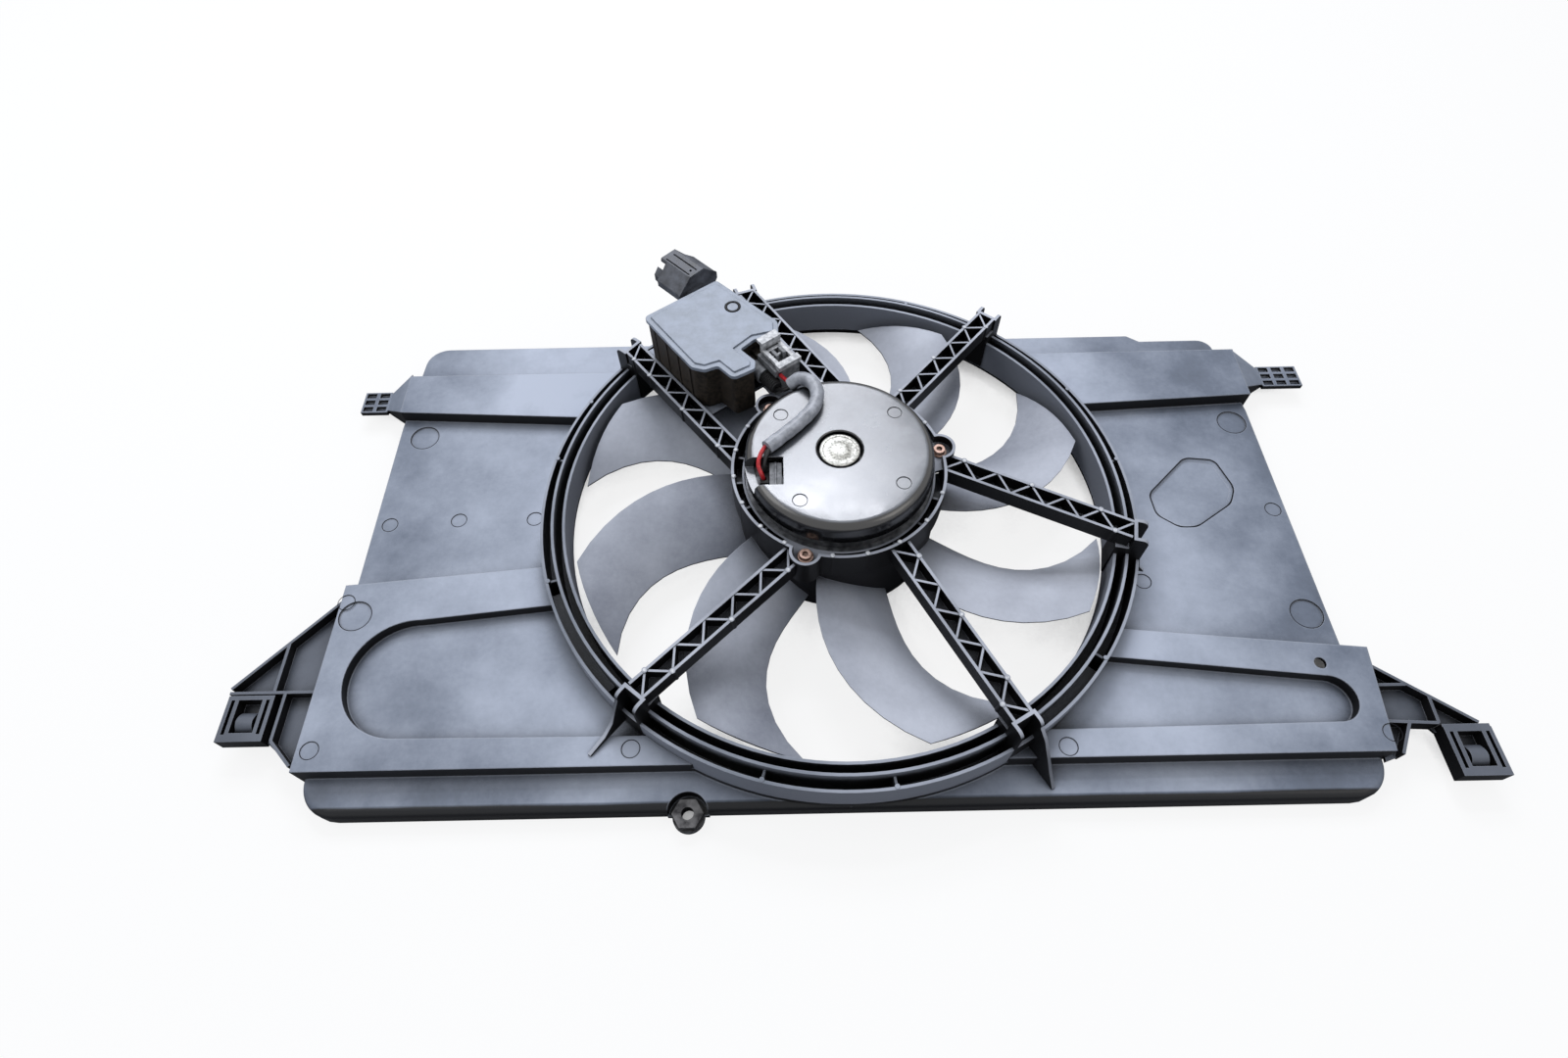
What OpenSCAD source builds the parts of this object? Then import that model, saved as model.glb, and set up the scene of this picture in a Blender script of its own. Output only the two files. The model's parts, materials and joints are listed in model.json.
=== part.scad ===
// Engine-side radiator fan of a compact car: a moulded shroud with its fan ring and six lattice struts,
// an eight-blade fan on a flat brushed motor, and the control module that switches it.
// The floor (Z = 0) is the radiator side, the origin lies on the fan axis, +X is the panel's long way
// and +Y points to its far, straight edge. All sizes are in millimetres.

/* [Shroud panel] */
// Fan axis to the panel's left edge
panel_left = 356.5; // [330:0.5:380]
// Fan axis to the panel's right edge
panel_right = 347.5; // [330:0.5:370]
// Fan axis to the panel's near edge
panel_near = 219; // [216:0.5:230]
// Fan axis to the panel's far edge
panel_far = 189; // [182:0.5:205]
// Height of the flat panel above the radiator side
panel_h = 14; // [12:0.5:17]
// Wall thickness of the moulding
skin = 2.5; // [2:0.1:3]
// Radius of the two near corners
near_corner_r = 25; // [12:1:32]
// Radius of the far left corner
far_corner_r = 18; // [8:1:24]
// Rounding of the near edge's top
lip_round = 5.5; // [2:0.5:5.5]

/* [Raised bands] */
// Height of the near band
near_band_h = 28; // [25:0.5:32]
// Fan axis to the near band's front wall
near_band_front = 194; // [188:0.5:200]
// Depth of the two recesses in the near band
recess_depth = 9; // [5:0.5:10]
// Height of the far band
far_band_h = 25; // [21:0.5:29]
// Depth of the large round dimples
dimple_depth = 1; // [0.4:0.1:1.4]
// Radius of the large round dimples
dimple_r = 11.5; // [8:0.5:12]
// Radius of the cable hole in the near band
cable_hole_r = 4; // [3:0.1:5]

/* [Fan ring] */
// Inner radius of the fan ring
barrel_r = 200; // [196:0.5:204]
// Thickness of the ring's three walls
ring_wall = 2; // [1.6:0.1:2.4]
// Width of the groove behind the inner wall
inner_groove = 5.8; // [5:0.1:7]
// Width of the groove behind the middle wall
outer_groove = 6.7; // [6:0.1:8]
// Height at which the ring's walls start
ring_seat = 20; // [18.5:0.5:22]
// Height of the inner rim
inner_rim = 47; // [42:0.5:50]
// Height of the middle rim
middle_rim = 49; // [44:0.5:52]
// Height of the outer rim
outer_rim = 44; // [40:0.5:48]

/* [Struts and motor carrier] */
// Width of a lattice strut
strut_w = 15; // [13:0.5:16]
// Depth of a lattice strut
strut_d = 13; // [11:0.5:15]
// Height of a strut's top at the ring
strut_low = 67; // [62:0.5:70]
// Height of a strut's top at the motor
strut_high = 80; // [77:0.5:82]
// Length of one lattice cell
strut_cell = 12; // [9:0.5:16]
// Outer radius of the motor carrier
carrier_r = 76; // [75:0.5:79]
// Top of the motor carrier
carrier_top = 83; // [80:0.5:85]
// Underside of the motor carrier
carrier_base = 60; // [58.5:0.5:63]

/* [Fan] */
// Number of blades
blade_count = 8; // [5:1:9]
// Gap between the blade tips and the ring
tip_gap = 5.5; // [3:0.5:8]
// Blade thickness
blade_t = 2.4; // [1.8:0.1:3]
// Outer radius of the fan's hub
hub_r = 73; // [71:0.5:74.5]
// Top of the hub's skirt
hub_top = 56; // [52:0.5:57.5]
// Underside of the hub's face
hub_face = 10; // [8.5:0.5:12]

/* [Motor] */
// Outer radius of the motor can
can_r = 62; // [58:0.5:63]
// Wall of the motor can
can_wall = 2.5; // [2:0.1:3]
// Open lower edge of the motor can
can_low = 26; // [25:0.5:28]
// Closed top of the motor can
can_top = 90; // [88:0.5:92]
// Top of the motor cover
cover_top = 102; // [99:0.5:106]
// Outer radius of the motor cover
cover_r = 66.2; // [65.5:0.1:66.6]
// Radius of the hole in the motor cover
cover_hole_r = 16; // [15:0.5:20]
// Diameter of the circle of motor screws
screw_circle = 149.4; // [146:0.2:153]
// Thread diameter of a motor screw
screw_d = 5; // [4:0.5:6]
// Diameter of the motor shaft
shaft_d = 8; // [7:0.5:9]
// Radial clearance of the shaft in its plain bush
shaft_play = 0.03; // [0.01:0.01:0.1]
// Outer radius of the armature
armature_r = 49; // [46:0.5:54.4]
// Number of armature slots
slot_count = 12; // [8:1:14]
// Outer radius of the commutator
commutator_r = 14; // [12:0.5:15]

/* [Control module] */
// Middle of the module, left to right
module_x = -92; // [-93:0.5:-91]
// Middle of the module, near to far
module_y = 118; // [117:0.5:120]
// Turn of the module about the vertical
module_turn = -54; // [-55:0.5:-53]
// Underside of the module
module_base = 67; // [66:0.5:68]
// Top edge of the module's walls
module_rim = 106; // [103:0.5:110]
// Wall thickness of the module
module_wall = 2; // [1.6:0.1:2.4]
// Thickness of the module's lid
lid_t = 3; // [2.4:0.1:3.5]

/* [Plugs and lead] */
// Length of the supply connector's collar
collar_l = 34; // [28:1:40]
// Width of the supply connector's collar
collar_w = 39; // [37:0.5:41]
// Height of the supply connector's collar
collar_h = 30.6; // [29:0.2:32]
// Length of the motor plug
plug_l = 23; // [21:0.5:25]
// Diameter of the lead's sheath
sheath_d = 10; // [8:0.5:11]
// Diameter of a wire
wire_d = 3; // [2.5:0.1:3.6]

/* [Side arms] */
// Height of the arms' ribs and clip pads
arm_h = 22; // [20:0.5:24]
// Thickness of the arms' ribs
rib_t = 2; // [1.6:0.1:2.6]
// Width of a clip pad
pad_w = 31; // [28:0.5:33]
// Length of a clip pad
pad_l = 32; // [30:0.5:36]
// Width of the window in a clip pad
window_w = 16; // [14:0.5:17]
// Width of a side tab's waffle block
tab_w = 22; // [18:0.5:26]

/* [Hidden] */

$fn = 96;
// Small overlap of cutting bodies
eps = 0.5;

// Radii of the ring's walls, from the inside out
middle_wall_r = barrel_r + ring_wall + inner_groove;
outer_wall_r = middle_wall_r + ring_wall + outer_groove;
ring_r = outer_wall_r + ring_wall;
ring_floor = ring_seat + 1.5;

// Angles of the six struts at the motor and at the ring
struts = [[51.2, 51.3], [2.9, -13.4], [-59.9, -60.2], [-115.3, -130], [166.8, 139.6], [88.6, 108.9]];
tower_w = strut_w + 3;
tower_in = barrel_r - 1.5;
tower_out = ring_r;
// Angles of the small cross ribs and the two raised stretches in the ring's outer groove
ring_ribs = [8, 28, 71, 153, 169, 198, 255, 277, 322];
raised_grooves = [[200, 223], [306, 320]];
// Angles of the small ribs in the motor carrier
carrier_ribs = [30, 50, 70, 90, 110, 150, 168, 186, 204, 222, 238, 264, 282, 300, 320, 340];

// Motor screws
screw_angles = [12, 130, 250];
screw_r = screw_circle / 2;
ear_top = 76;
ear_t = 2.5;
flange_t = 2.5;

// Bearings
race_out = 11;
race_gap_out = 9.2;
race_gap_in = 5.8;
race_low = 20;
race_h = 7;
ball_r = 1.6;
ball_circle_r = (race_gap_out + race_gap_in) / 2;
ball_count = 8;
bush_r = 8;
boss_r = 14;
boss_top = cover_top - 2;
bush_low = can_top - 4;
bush_h = 11;

// Armature stack
core_low = 36;
core_h = 26;
end_turn_h = 6;
slot_w = 9;
slot_in = 30;
slot_out = armature_r - 3;
shaft_low = 4;
shaft_high = bush_low + bush_h - 1;
brush_deck = can_top - 18;
commutator_low = brush_deck - 2;
commutator_h = 14;
brush_angles = [45, 135, 225, 315];

// Blade edges: the angle of the trailing and leading edge against the way from root to tip
blade_root = hub_r - 1;
blade_tip = barrel_r - tip_gap;
blade_rows = 11;
blade_cols = 7;
function trail_angle(t) = 211 + 11.7 * t + 17.2 * t * t;
function lead_angle(t) = 252 - 29.4 * t + 38.9 * t * t;
function trail_z(t) = 51 - 10 * t;
function lead_z(t) = 20 + 4 * t;

// Module outline in its own frame: x towards the motor, y to the right
module_outline = [[-35, -37.5], [30, -37], [38, -31], [40.5, -21], [57, -19], [59, -1], [53, 3.5],
    [37, 1.5], [35, 15.5], [42, 32.5], [31, 40.5], [-35, 29.5]];
module_corners = [4, 6, 4, 3, 5, 3, 2, 2, 2, 3, 8, 3];
lid_lip = 1.5;
board_z = module_base + 11;
board_t = 1.6;
sink_x = 24;
sink_y = 26;
collar_y = 14.5;
collar_z = 92;
collar_gap = 14;
hood_turn = 8.6;
plug_x = 42.5;
plug_y = 23.5;
plug_w = 22;
plug_z = 76;
plug_h = 25;
barrel_y = 10;
barrel_z = 90;
barrel_l = 12.5;
latch_z = plug_z + plug_h + 3.5;
latch_pin_x = plug_x + 12;
latch_hook_z = module_rim + lid_t + 0.4;

// Corner of the grommet in the motor's top, where the two wires go in
lead_x = 6.9 - can_r;
lead_y = -22;
lead_slot_w = 23;

// Route of the lead's sheath from the plug, over the motor cover, to the slot in its edge
sheath_points = [[-33, 61, 100], [-26, 62, 105.5], [-18, 56, 108], [-14, 46, 108], [-17, 33, 107.5],
    [-26, 21, 107.5], [-38, 9, 107.5], [-50, -2, 107.5]];
red_plug_points = [[-40, 74, 97], [-36.5, 68, 98.5], [-33, 62.2, 101.3]];
black_plug_points = [[-48.5, 75.2, 90], [-45.7, 71.3, 90], [-42.2, 66.5, 90.3], [-37.5, 61.5, 94.5],
    [-31.6, 60, 99.9]];
red_motor_points = [[-50.5, 0, 107.5], [-54.5, -6.5, 105.5], [-56, -12.5, 101.5],
    [lead_x + 1.5, lead_y + 4.5, can_top + 6.5], [lead_x + 3, lead_y + 3.5, can_top + 1]];
black_motor_points = [[-48, -2.8, 107.5], [-50.5, -7, 104.8], [-52, -10.5, 100.5],
    [lead_x + 3, lead_y + 9.5, can_top + 6], [lead_x + 3, lead_y + 9.5, can_top + 1]];

// Left arm, then right arm, from the panel's near corner: floor outline, rib ends and the middle of the
// clip pad's far edge
left_outline = [[0.5, 155], [-61.5, 85], [-61.5, 79], [-29.5, 79], [-29.5, 49], [-6.5, 31], [0.5, 27]];
left_ribs = [[[0.5, 155], [-61.5, 85]], [[-61.5, 82], [-0.5, 82]], [[-31.5, 119], [-31.5, 82]],
    [[-23.5, 82], [-23.5, 48]], [[-23.5, 48], [-6.5, 31]]];
right_outline = [[-1.5, 22], [7.5, 25], [20.5, 47], [36.5, 45], [39.5, 41], [70.5, 41], [70.5, 45],
    [62.5, 47], [6.5, 91]];
right_ribs = [[[4.5, 90], [64.5, 45]], [[2.5, 72], [27.5, 72]], [[39.5, 63], [38.5, 45]],
    [[2.5, 47], [38.5, 45]], [[20.5, 47], [7.5, 25]], [[39.5, 43], [70.5, 43]]];
left_pad = [-45.5, 80];
right_pad = [55.5, 42];

// Pressed and ejected marks: [x, y]
large_dimples = [[-336, 89], [332, 88], [333, -89]];
band_dimple = [-344, -83];
small_marks = [[-345, 3], [-233, 6], [-292, 6], [-201, -115], [338, 1], [223, -60]];
band_marks = [[-353, -72], [-349, -180], [-141, -183], [140, -187], [349, -182]];
cable_hole = [320, -133];
window_outline = [[283, 53], [246, 18], [247, -2], [262, -14], [276, -14], [308, 7], [315, 22], [307, 50]];
lip_boss = [-104.5, -1];
lip_boss_r = 10.5;
nut_flats = 18;
nut_h = 7;
nut_seat = 4;

// Outlines
function unit(v) = v / norm(v);
function left_of(v) = [-v.y, v.x] / norm(v);
function inset(points, by) = let (n = len(points)) [for (i = [0:n - 1])
    let (n1 = left_of(points[i] - points[(i + n - 1) % n]), n2 = left_of(points[(i + 1) % n] - points[i]))
    points[i] + (n1 + n2) * by / (1 + n1 * n2)];
function corner_arc(a, b, c, r) = let (u = unit(a - b), v = unit(c - b), half = acos(u * v) / 2,
    centre = b + unit(u + v) * r / sin(half), p = b + u * r / tan(half) - centre,
    q = b + v * r / tan(half) - centre, start = atan2(p.y, p.x),
    turn = (atan2(q.y, q.x) - start + 540) % 360 - 180)
    [for (i = [0:6]) centre + r * [cos(start + turn * i / 6), sin(start + turn * i / 6)]];
function rounded(points, radii) = let (n = len(points)) [for (i = [0:n - 1])
    each radii[i] <= 0 ? [points[i]] :
        corner_arc(points[(i + n - 1) % n], points[i], points[(i + 1) % n], radii[i])];
function shrink(radii, by) = [for (r = radii) r <= 0 ? 0 : max(r - by, 0.4)];

// Faces of a closed skin over a list of equally long rings of points
function skin_faces(rows, n) = concat(
    [for (i = [0:rows - 2], j = [0:n - 1]) each
        let (a = i * n + j, b = i * n + (j + 1) % n) [[a, b, b + n], [a, b + n, a + n]]],
    [for (j = [0:n / 2 - 2]) each
        let (a = j, b = j + 1, c = n - 2 - j, d = n - 1 - j) [[a, c, b], [a, d, c]]],
    [for (j = [0:n / 2 - 2]) each
        let (o = (rows - 1) * n, a = o + j, b = a + 1, c = o + n - 2 - j, d = c + 1)
        [[a, b, c], [a, c, d]]]);

// A point at radius r and angle a
function polar(r, a) = [r * cos(a), r * sin(a)];

module wedge(from, to, r, low, high) {
    translate([0, 0, low])
        linear_extrude(high - low)
            polygon(concat([[0, 0]], [for (i = [0:4]) polar(r, from + (to - from) * i / 4)]));
}

module tube(r_out, r_in, low, high) {
    translate([0, 0, low]) difference() {
        cylinder(r = r_out, h = high - low);
        translate([0, 0, -eps]) cylinder(r = r_in, h = high - low + 2 * eps);
    }
}

module wall_between(p, q, t, low, high) {
    translate([p.x, p.y, low])
        rotate([0, 0, atan2(q.y - p.y, q.x - p.x)])
            translate([0, -t / 2, 0]) cube([norm(q - p), t, high - low]);
}

// A round tube swept along a smooth curve through the points
function curve_point(p, i, t) = let (n = len(p), a = p[max(i - 1, 0)], b = p[i], c = p[min(i + 1, n - 1)],
    d = p[min(i + 2, n - 1)])
    0.5 * (2 * b + (c - a) * t + (2 * a - 5 * b + 4 * c - d) * t * t
        + (3 * b - a - 3 * c + d) * t * t * t);
function curve(p, steps) = concat([for (i = [0:len(p) - 2], s = [0:steps - 1]) curve_point(p, i, s / steps)],
    [p[len(p) - 1]]);
module swept_tube(points, d, steps, side_hint) {
    sides = 8;
    path = curve(points, steps);
    n = len(path);
    rings = [for (i = [0:n - 1]) let (t = unit(path[min(i + 1, n - 1)] - path[max(i - 1, 0)]),
        u = unit(cross(side_hint, t)), v = cross(t, u))
        for (j = [0:sides - 1]) path[i] + d / 2 * (u * cos(360 * j / sides) + v * sin(360 * j / sides))];
    polyhedron(rings, skin_faces(n, sides));
}

// Shroud

module plate(by, low, high) {
    outline = [[-panel_left, -panel_near], [panel_right, -panel_near], [panel_right, 100],
        [panel_right - 9, panel_far - 7], [278, panel_far - 7], [268, panel_far],
        [5.5 - panel_left, panel_far], [-panel_left, 100]];
    radii = [near_corner_r, near_corner_r, 0, 12, 0, 0, far_corner_r, 0];
    translate([0, 0, low])
        linear_extrude(high - low) polygon(rounded(inset(outline, by), shrink(radii, by)));
}

module near_band(by, low, high) {
    outline = [[-panel_left - 1.5, -near_band_front], [panel_right, -near_band_front],
        [panel_right + 8, -122], [0, -84], [0, -27], [-panel_left - 0.5, -58]];
    translate([0, 0, low]) linear_extrude(high - low) polygon(inset(outline, by));
}

module far_bands(by, low, high) {
    left = [[-panel_left, 108], [0, 86], [0, 148], [-panel_left, 148]];
    right = [[panel_right + 2, 109], [panel_right + 2, 160], [0, 160], [0, 92]];
    translate([0, 0, low]) linear_extrude(high - low) {
        polygon(inset(left, by));
        polygon(inset(right, by));
    }
}

// What the rounded top of the near edge takes off the panel
module edge_profile() {
    difference() {
        translate([-1, 0]) square([lip_round + 1, lip_round + 1]);
        translate([lip_round, 0]) circle(lip_round);
    }
}

module lip_rounding() {
    translate([near_corner_r - panel_left, -panel_near, panel_h - lip_round]) rotate([90, 0, 90])
        linear_extrude(panel_left + panel_right - 2 * near_corner_r) edge_profile();
    for (s = [-1, 1]) {
        x = s < 0 ? -panel_left : panel_right;
        translate([x - s * near_corner_r, near_corner_r - panel_near, panel_h - lip_round]) {
            rotate([0, 0, s < 0 ? 180 : 270]) rotate_extrude(angle = 90)
                translate([near_corner_r, 0]) mirror([1, 0]) edge_profile();
        }
        translate([x, 0, panel_h - lip_round]) mirror([s > 0 ? 1 : 0, 0, 0]) rotate([90, 0, 0])
            translate([0, 0, near_band_front])
                linear_extrude(max(panel_near - near_band_front - near_corner_r, 0) + eps) edge_profile();
    }
}

// The two sunk pockets of the near band, open towards the ring
module recesses(grow, low, high) {
    translate([0, 0, low]) linear_extrude(high - low) {
        translate([-297, -130]) circle(43 + grow);
        polygon([[-297, -87 + grow], [-297, -173 - grow], [-60, -175 - grow], [-60, -62 + grow]]);
        translate([320, -158]) circle(16 + grow);
        polygon([[320, -142 + grow], [60, -111 + grow], [60, -176 - grow], [320, -174 - grow]]);
    }
}

module panel_marks() {
    for (p = large_dimples) translate([p.x, p.y, panel_h - dimple_depth]) cylinder(r = dimple_r, h = 3);
    translate([band_dimple.x, band_dimple.y, near_band_h - dimple_depth]) cylinder(r = dimple_r, h = 3);
    for (p = small_marks) translate([p.x, p.y, panel_h - 0.3]) cylinder(r = 6, h = 2);
    for (p = band_marks) translate([p.x, p.y, near_band_h - 0.3]) cylinder(r = 6, h = 2);
    translate([0, 0, panel_h - dimple_depth])
        linear_extrude(3) polygon(rounded(window_outline, [for (p = window_outline) 8]));
    translate([cable_hole.x, cable_hole.y, 0]) cylinder(r = cable_hole_r, h = near_band_h + 1);
}

module waffle_tab(side, edge, neck, y, columns) {
    low = panel_h - 9;
    thick = 4;
    along = 11.2;
    across = tab_w / 3;
    root = edge + neck;
    difference() {
        translate([side > 0 ? root : -root - columns * along, y, panel_h - thick])
            cube([columns * along, tab_w, thick]);
        for (i = [0:columns - 1], j = [0:2])
            translate([side * (root + (i + 0.5) * along) - 4.1, y + (j + 0.5) * across - 2.5,
                panel_h - thick + 1.2]) cube([8.2, 5, thick]);
    }
    intersection() {
        translate([0, 0, low]) linear_extrude(20)
            polygon([[side * (edge - 1), y - 10], [side * root, y + 2],
                [side * root, y + tab_w - 2], [side * (edge - 1), y + tab_w + 10]]);
        translate([0, y + tab_w + 20, 0]) rotate([90, 0, 0]) linear_extrude(tab_w + 40)
            polygon([[side * (edge - 1), low], [side * root, panel_h - thick], [side * root, panel_h],
                [side * (edge - 1), far_band_h]]);
    }
}

// A clip pad with a deep pocket, a sprung tongue in it and a guide slot on either side
module clip_pad(at) {
    low = arm_h - 11;
    side = (pad_w - window_w) / 2;
    translate([at.x, at.y, low]) {
        difference() {
            translate([-pad_w / 2, -pad_l, 0]) cube([pad_w, pad_l, 11]);
            translate([-window_w / 2, -pad_l + 6, 2]) cube([window_w, pad_l - 9, 13]);
            for (s = [-1, 1])
                translate([s * (window_w / 2 + side / 2) - 1.2, -pad_l + 5, 5]) cube([2.4, pad_l - 8, 8]);
        }
        translate([window_w / 2 - 2.5, -pad_l + 5, 0]) rotate([90, 0, -90]) linear_extrude(window_w - 5)
            polygon(concat([[0, 5], [0, 3]],
                [for (i = [0:8]) [-(pad_l - 16) * i / 8, 3 + 6 * sin(180 * i / 9)]],
                [for (i = [8:-1:0]) [-(pad_l - 16) * i / 8, 5 + 6 * sin(180 * i / 9)]]));
    }
}

module arm(outline, ribs, pad) {
    translate([0, 0, panel_h - skin]) linear_extrude(skin) polygon(outline);
    for (r = ribs) wall_between(r[0], r[1], rib_t, panel_h - skin, arm_h);
    clip_pad(pad);
}

module panel_body() {
    difference() {
        union() {
            plate(0, 0, panel_h);
            near_band(0, 0, near_band_h);
            far_bands(0, 0, far_band_h);
            cylinder(r = ring_r, h = ring_seat);
            intersection() {
                translate([lip_boss.x, lip_boss.y - panel_near, 0]) cylinder(r = lip_boss_r + 5, h = panel_h);
                plate(0, 0, panel_h);
            }
        }
        difference() {
            plate(skin, -1, panel_h - skin);
            translate([lip_boss.x, lip_boss.y - panel_near, -2])
                cylinder(r = lip_boss_r + 5, h = panel_h + 2);
        }
        difference() {
            union() {
                near_band(skin, -1, near_band_h - skin);
                far_bands(skin, -1, far_band_h - skin);
            }
            translate([0, 0, -2]) cylinder(r = ring_r, h = 40);
            recesses(skin, near_band_h - recess_depth - skin, 40);
        }
        recesses(0, near_band_h - recess_depth, 40);
        translate([0, 0, -1]) cylinder(r = ring_r - skin, h = ring_seat - skin + 1);
        translate([0, 0, -1]) cylinder(r = barrel_r, h = 60);
        translate([0, 0, ring_seat]) cylinder(r = ring_r, h = 40);
        translate([lip_boss.x, lip_boss.y - panel_near, -1]) cylinder(r = lip_boss_r + 2.5, h = 30);
        panel_marks();
        lip_rounding();
    }
    difference() {
        translate([lip_boss.x, lip_boss.y - panel_near, 0]) union() {
            cylinder(r = lip_boss_r, h = nut_seat);
            intersection() {
                cylinder(r = lip_boss_r + 3, h = nut_seat);
                translate([-20, 0, 0]) cube([40, 20, nut_seat]);
            }
        }
        translate([lip_boss.x, lip_boss.y - panel_near, -1]) cylinder(r = 4.5, h = nut_seat + 2);
    }
}

// The left or right half of the panel, parted on the fan axis under the ring
module panel_half(side) {
    color([0.2, 0.22, 0.25]) intersection() {
        panel_body();
        translate([side < 0 ? -2 * panel_left : 0, -2 * panel_near, -1])
            cube([2 * panel_left, 4 * panel_near, far_band_h + near_band_h]);
    }
}

module left_panel() {
    panel_half(-1);
}

module right_panel() {
    panel_half(1);
}

// What the arms and tabs are moulded on
module panel_sides() {
    plate(0, -1, panel_h);
    near_band(0, -1, near_band_h);
    far_bands(0, -1, far_band_h);
}

module left_arm() {
    color([0.2, 0.22, 0.25]) difference() {
        translate([-panel_left, -panel_near, 0]) arm(left_outline, left_ribs, left_pad);
        panel_sides();
    }
}

module right_arm() {
    color([0.2, 0.22, 0.25]) difference() {
        translate([panel_right, -panel_near, 0]) arm(right_outline, right_ribs, right_pad);
        panel_sides();
    }
}

module left_tab() {
    color([0.2, 0.22, 0.25]) difference() {
        waffle_tab(-1, panel_left, 18, 118, 2);
        panel_sides();
    }
}

module right_tab() {
    color([0.2, 0.22, 0.25]) difference() {
        waffle_tab(1, panel_right + 2, 21, 127, 3);
        panel_sides();
    }
}

module lip_nut() {
    color([0.16, 0.17, 0.19])
        translate([lip_boss.x, lip_boss.y - panel_near, nut_seat]) difference() {
            union() {
                cylinder(r = nut_flats / 2 / cos(30), h = nut_h, $fn = 6);
                cylinder(r = nut_flats / 2 + 1.2, h = 1.4);
            }
            translate([0, 0, -eps]) cylinder(r = 4, h = nut_h + 2 * eps);
        }
}

module tower_boxes(grow) {
    for (s = struts)
        rotate([0, 0, s[1]])
            translate([tower_in - grow, -tower_w / 2, ring_floor])
                cube([tower_out - tower_in + 2 * grow, tower_w, strut_low - ring_floor + grow]);
}

module fan_ring() {
    color([0.2, 0.22, 0.25])
        difference() {
            union() {
                tube(ring_r, barrel_r, ring_seat, ring_floor);
                tube(barrel_r + ring_wall, barrel_r, ring_seat, inner_rim);
                tube(middle_wall_r + ring_wall, middle_wall_r, ring_seat, middle_rim);
                tube(ring_r, outer_wall_r, ring_seat, outer_rim);
                for (a = ring_ribs) rotate([0, 0, a]) {
                    translate([middle_wall_r + ring_wall / 2, -0.8, ring_seat])
                        cube([outer_groove + ring_wall, 1.6, outer_rim - ring_seat - 2]);
                    translate([outer_wall_r, 0, ring_seat])
                        cylinder(r = 0.8 * ring_wall, h = outer_rim - ring_seat + 0.4, $fn = 24);
                }
                for (g = raised_grooves) intersection() {
                    tube(outer_wall_r + ring_wall / 2, middle_wall_r + ring_wall / 2, ring_seat, 35);
                    wedge(g[0], g[1], ring_r + 20, ring_seat - 1, 40);
                }
            }
            tower_boxes(1);
        }
}

// One U-shaped lattice beam along +X, its top at Z = 0
module strut_beam(l, back) {
    wall = 2;
    cells = round(l / strut_cell);
    step = l / cells;
    inner = strut_w / 2 - wall / 2;
    translate([-back, -strut_w / 2, -strut_d]) cube([l + back, strut_w, wall]);
    for (s = [-1, 1]) translate([-back, s * inner - wall / 2, -strut_d]) cube([l + back, wall, strut_d]);
    for (i = [0:cells - 1]) {
        s = i % 2 == 0 ? 1 : -1;
        p = [i * step, -s * inner];
        q = [(i + 1) * step, s * inner];
        translate([0, 0, -strut_d]) wall_between(p, q, 1.5, 1, strut_d - 0.6);
        if (i % 4 == 1 || i == cells - 1) translate([p.x, p.y, 1 - strut_d])
            cylinder(r = 1.9, h = strut_d - 0.7, $fn = 24);
    }
}

module strut(at_motor, at_ring) {
    p = polar(carrier_r, at_motor);
    q = polar(middle_wall_r, at_ring);
    run = norm(q - p);
    slope = atan2(strut_high - strut_low, run);
    translate([p.x, p.y, strut_high])
        rotate([0, slope, atan2(q.y - p.y, q.x - p.x)]) strut_beam(run / cos(slope), 8);
}

// The whole box that a strut fills, with nothing cut out of it
module strut_room(at_motor, at_ring) {
    p = polar(carrier_r, at_motor);
    q = polar(middle_wall_r, at_ring);
    run = norm(q - p);
    slope = atan2(strut_high - strut_low, run);
    translate([p.x, p.y, strut_high])
        rotate([0, slope, atan2(q.y - p.y, q.x - p.x)])
            translate([-8, -strut_w / 2, -strut_d]) cube([run / cos(slope) + 8, strut_w, strut_d + 5]);
}

// The foot of a strut on the ring: a block with the trough's last cell on it, a crossbar over the
// middle wall, and beyond it two cheeks with a pocket between them that is open above
module tower(at_motor, at_ring) {
    web = 2.4;
    shoulder = 5;
    low = strut_low - strut_d;
    rotate([0, 0, at_ring]) {
        translate([tower_in, -tower_w / 2, ring_floor])
            cube([middle_wall_r + web - tower_in, tower_w, low + 1.5 - ring_floor]);
        translate([middle_wall_r, -tower_w / 2, ring_floor])
            cube([web, tower_w, strut_low - ring_floor]);
        translate([middle_wall_r, -tower_w / 2, ring_floor])
            cube([tower_out - middle_wall_r, tower_w, web]);
        translate([tower_out - ring_wall - 0.2, -tower_w / 2, ring_floor])
            cube([ring_wall + 0.2, tower_w, outer_rim - ring_floor]);
        for (side = [web - tower_w / 2, tower_w / 2])
            translate([0, side, 0]) rotate([90, 0, 0]) linear_extrude(web)
                polygon(concat([[tower_out, ring_floor], [middle_wall_r, ring_floor], [middle_wall_r, strut_low]],
                    [for (i = [0:4]) [tower_out - shoulder * (1 - sin(22.5 * i)),
                        strut_low - shoulder * (1 - cos(22.5 * i))]]));
    }
    intersection() {
        strut(at_motor, at_ring);
        rotate([0, 0, at_ring]) translate([tower_in, -tower_w / 2, low])
            cube([middle_wall_r + 0.5 - tower_in, tower_w, strut_d + 3]);
    }
}

// A thin web that runs down and outwards from a tower. Its edge goes through shares of reach and height.
module fin(at_ring, offset, reach, top, low, edge) {
    rotate([0, 0, at_ring]) translate([tower_out - 1, offset + 1.2, 0]) rotate([90, 0, 0])
        linear_extrude(2.4)
            polygon(concat([[0, low], [0, top]],
                [for (e = edge) [1 + reach * e.x, low + 1 + (top - low - 1) * e.y]], [[1 + reach, low]]));
}

module ear_area(r) {
    for (a = screw_angles) rotate([0, 0, a]) translate([screw_r, 0]) circle(r);
}

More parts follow.
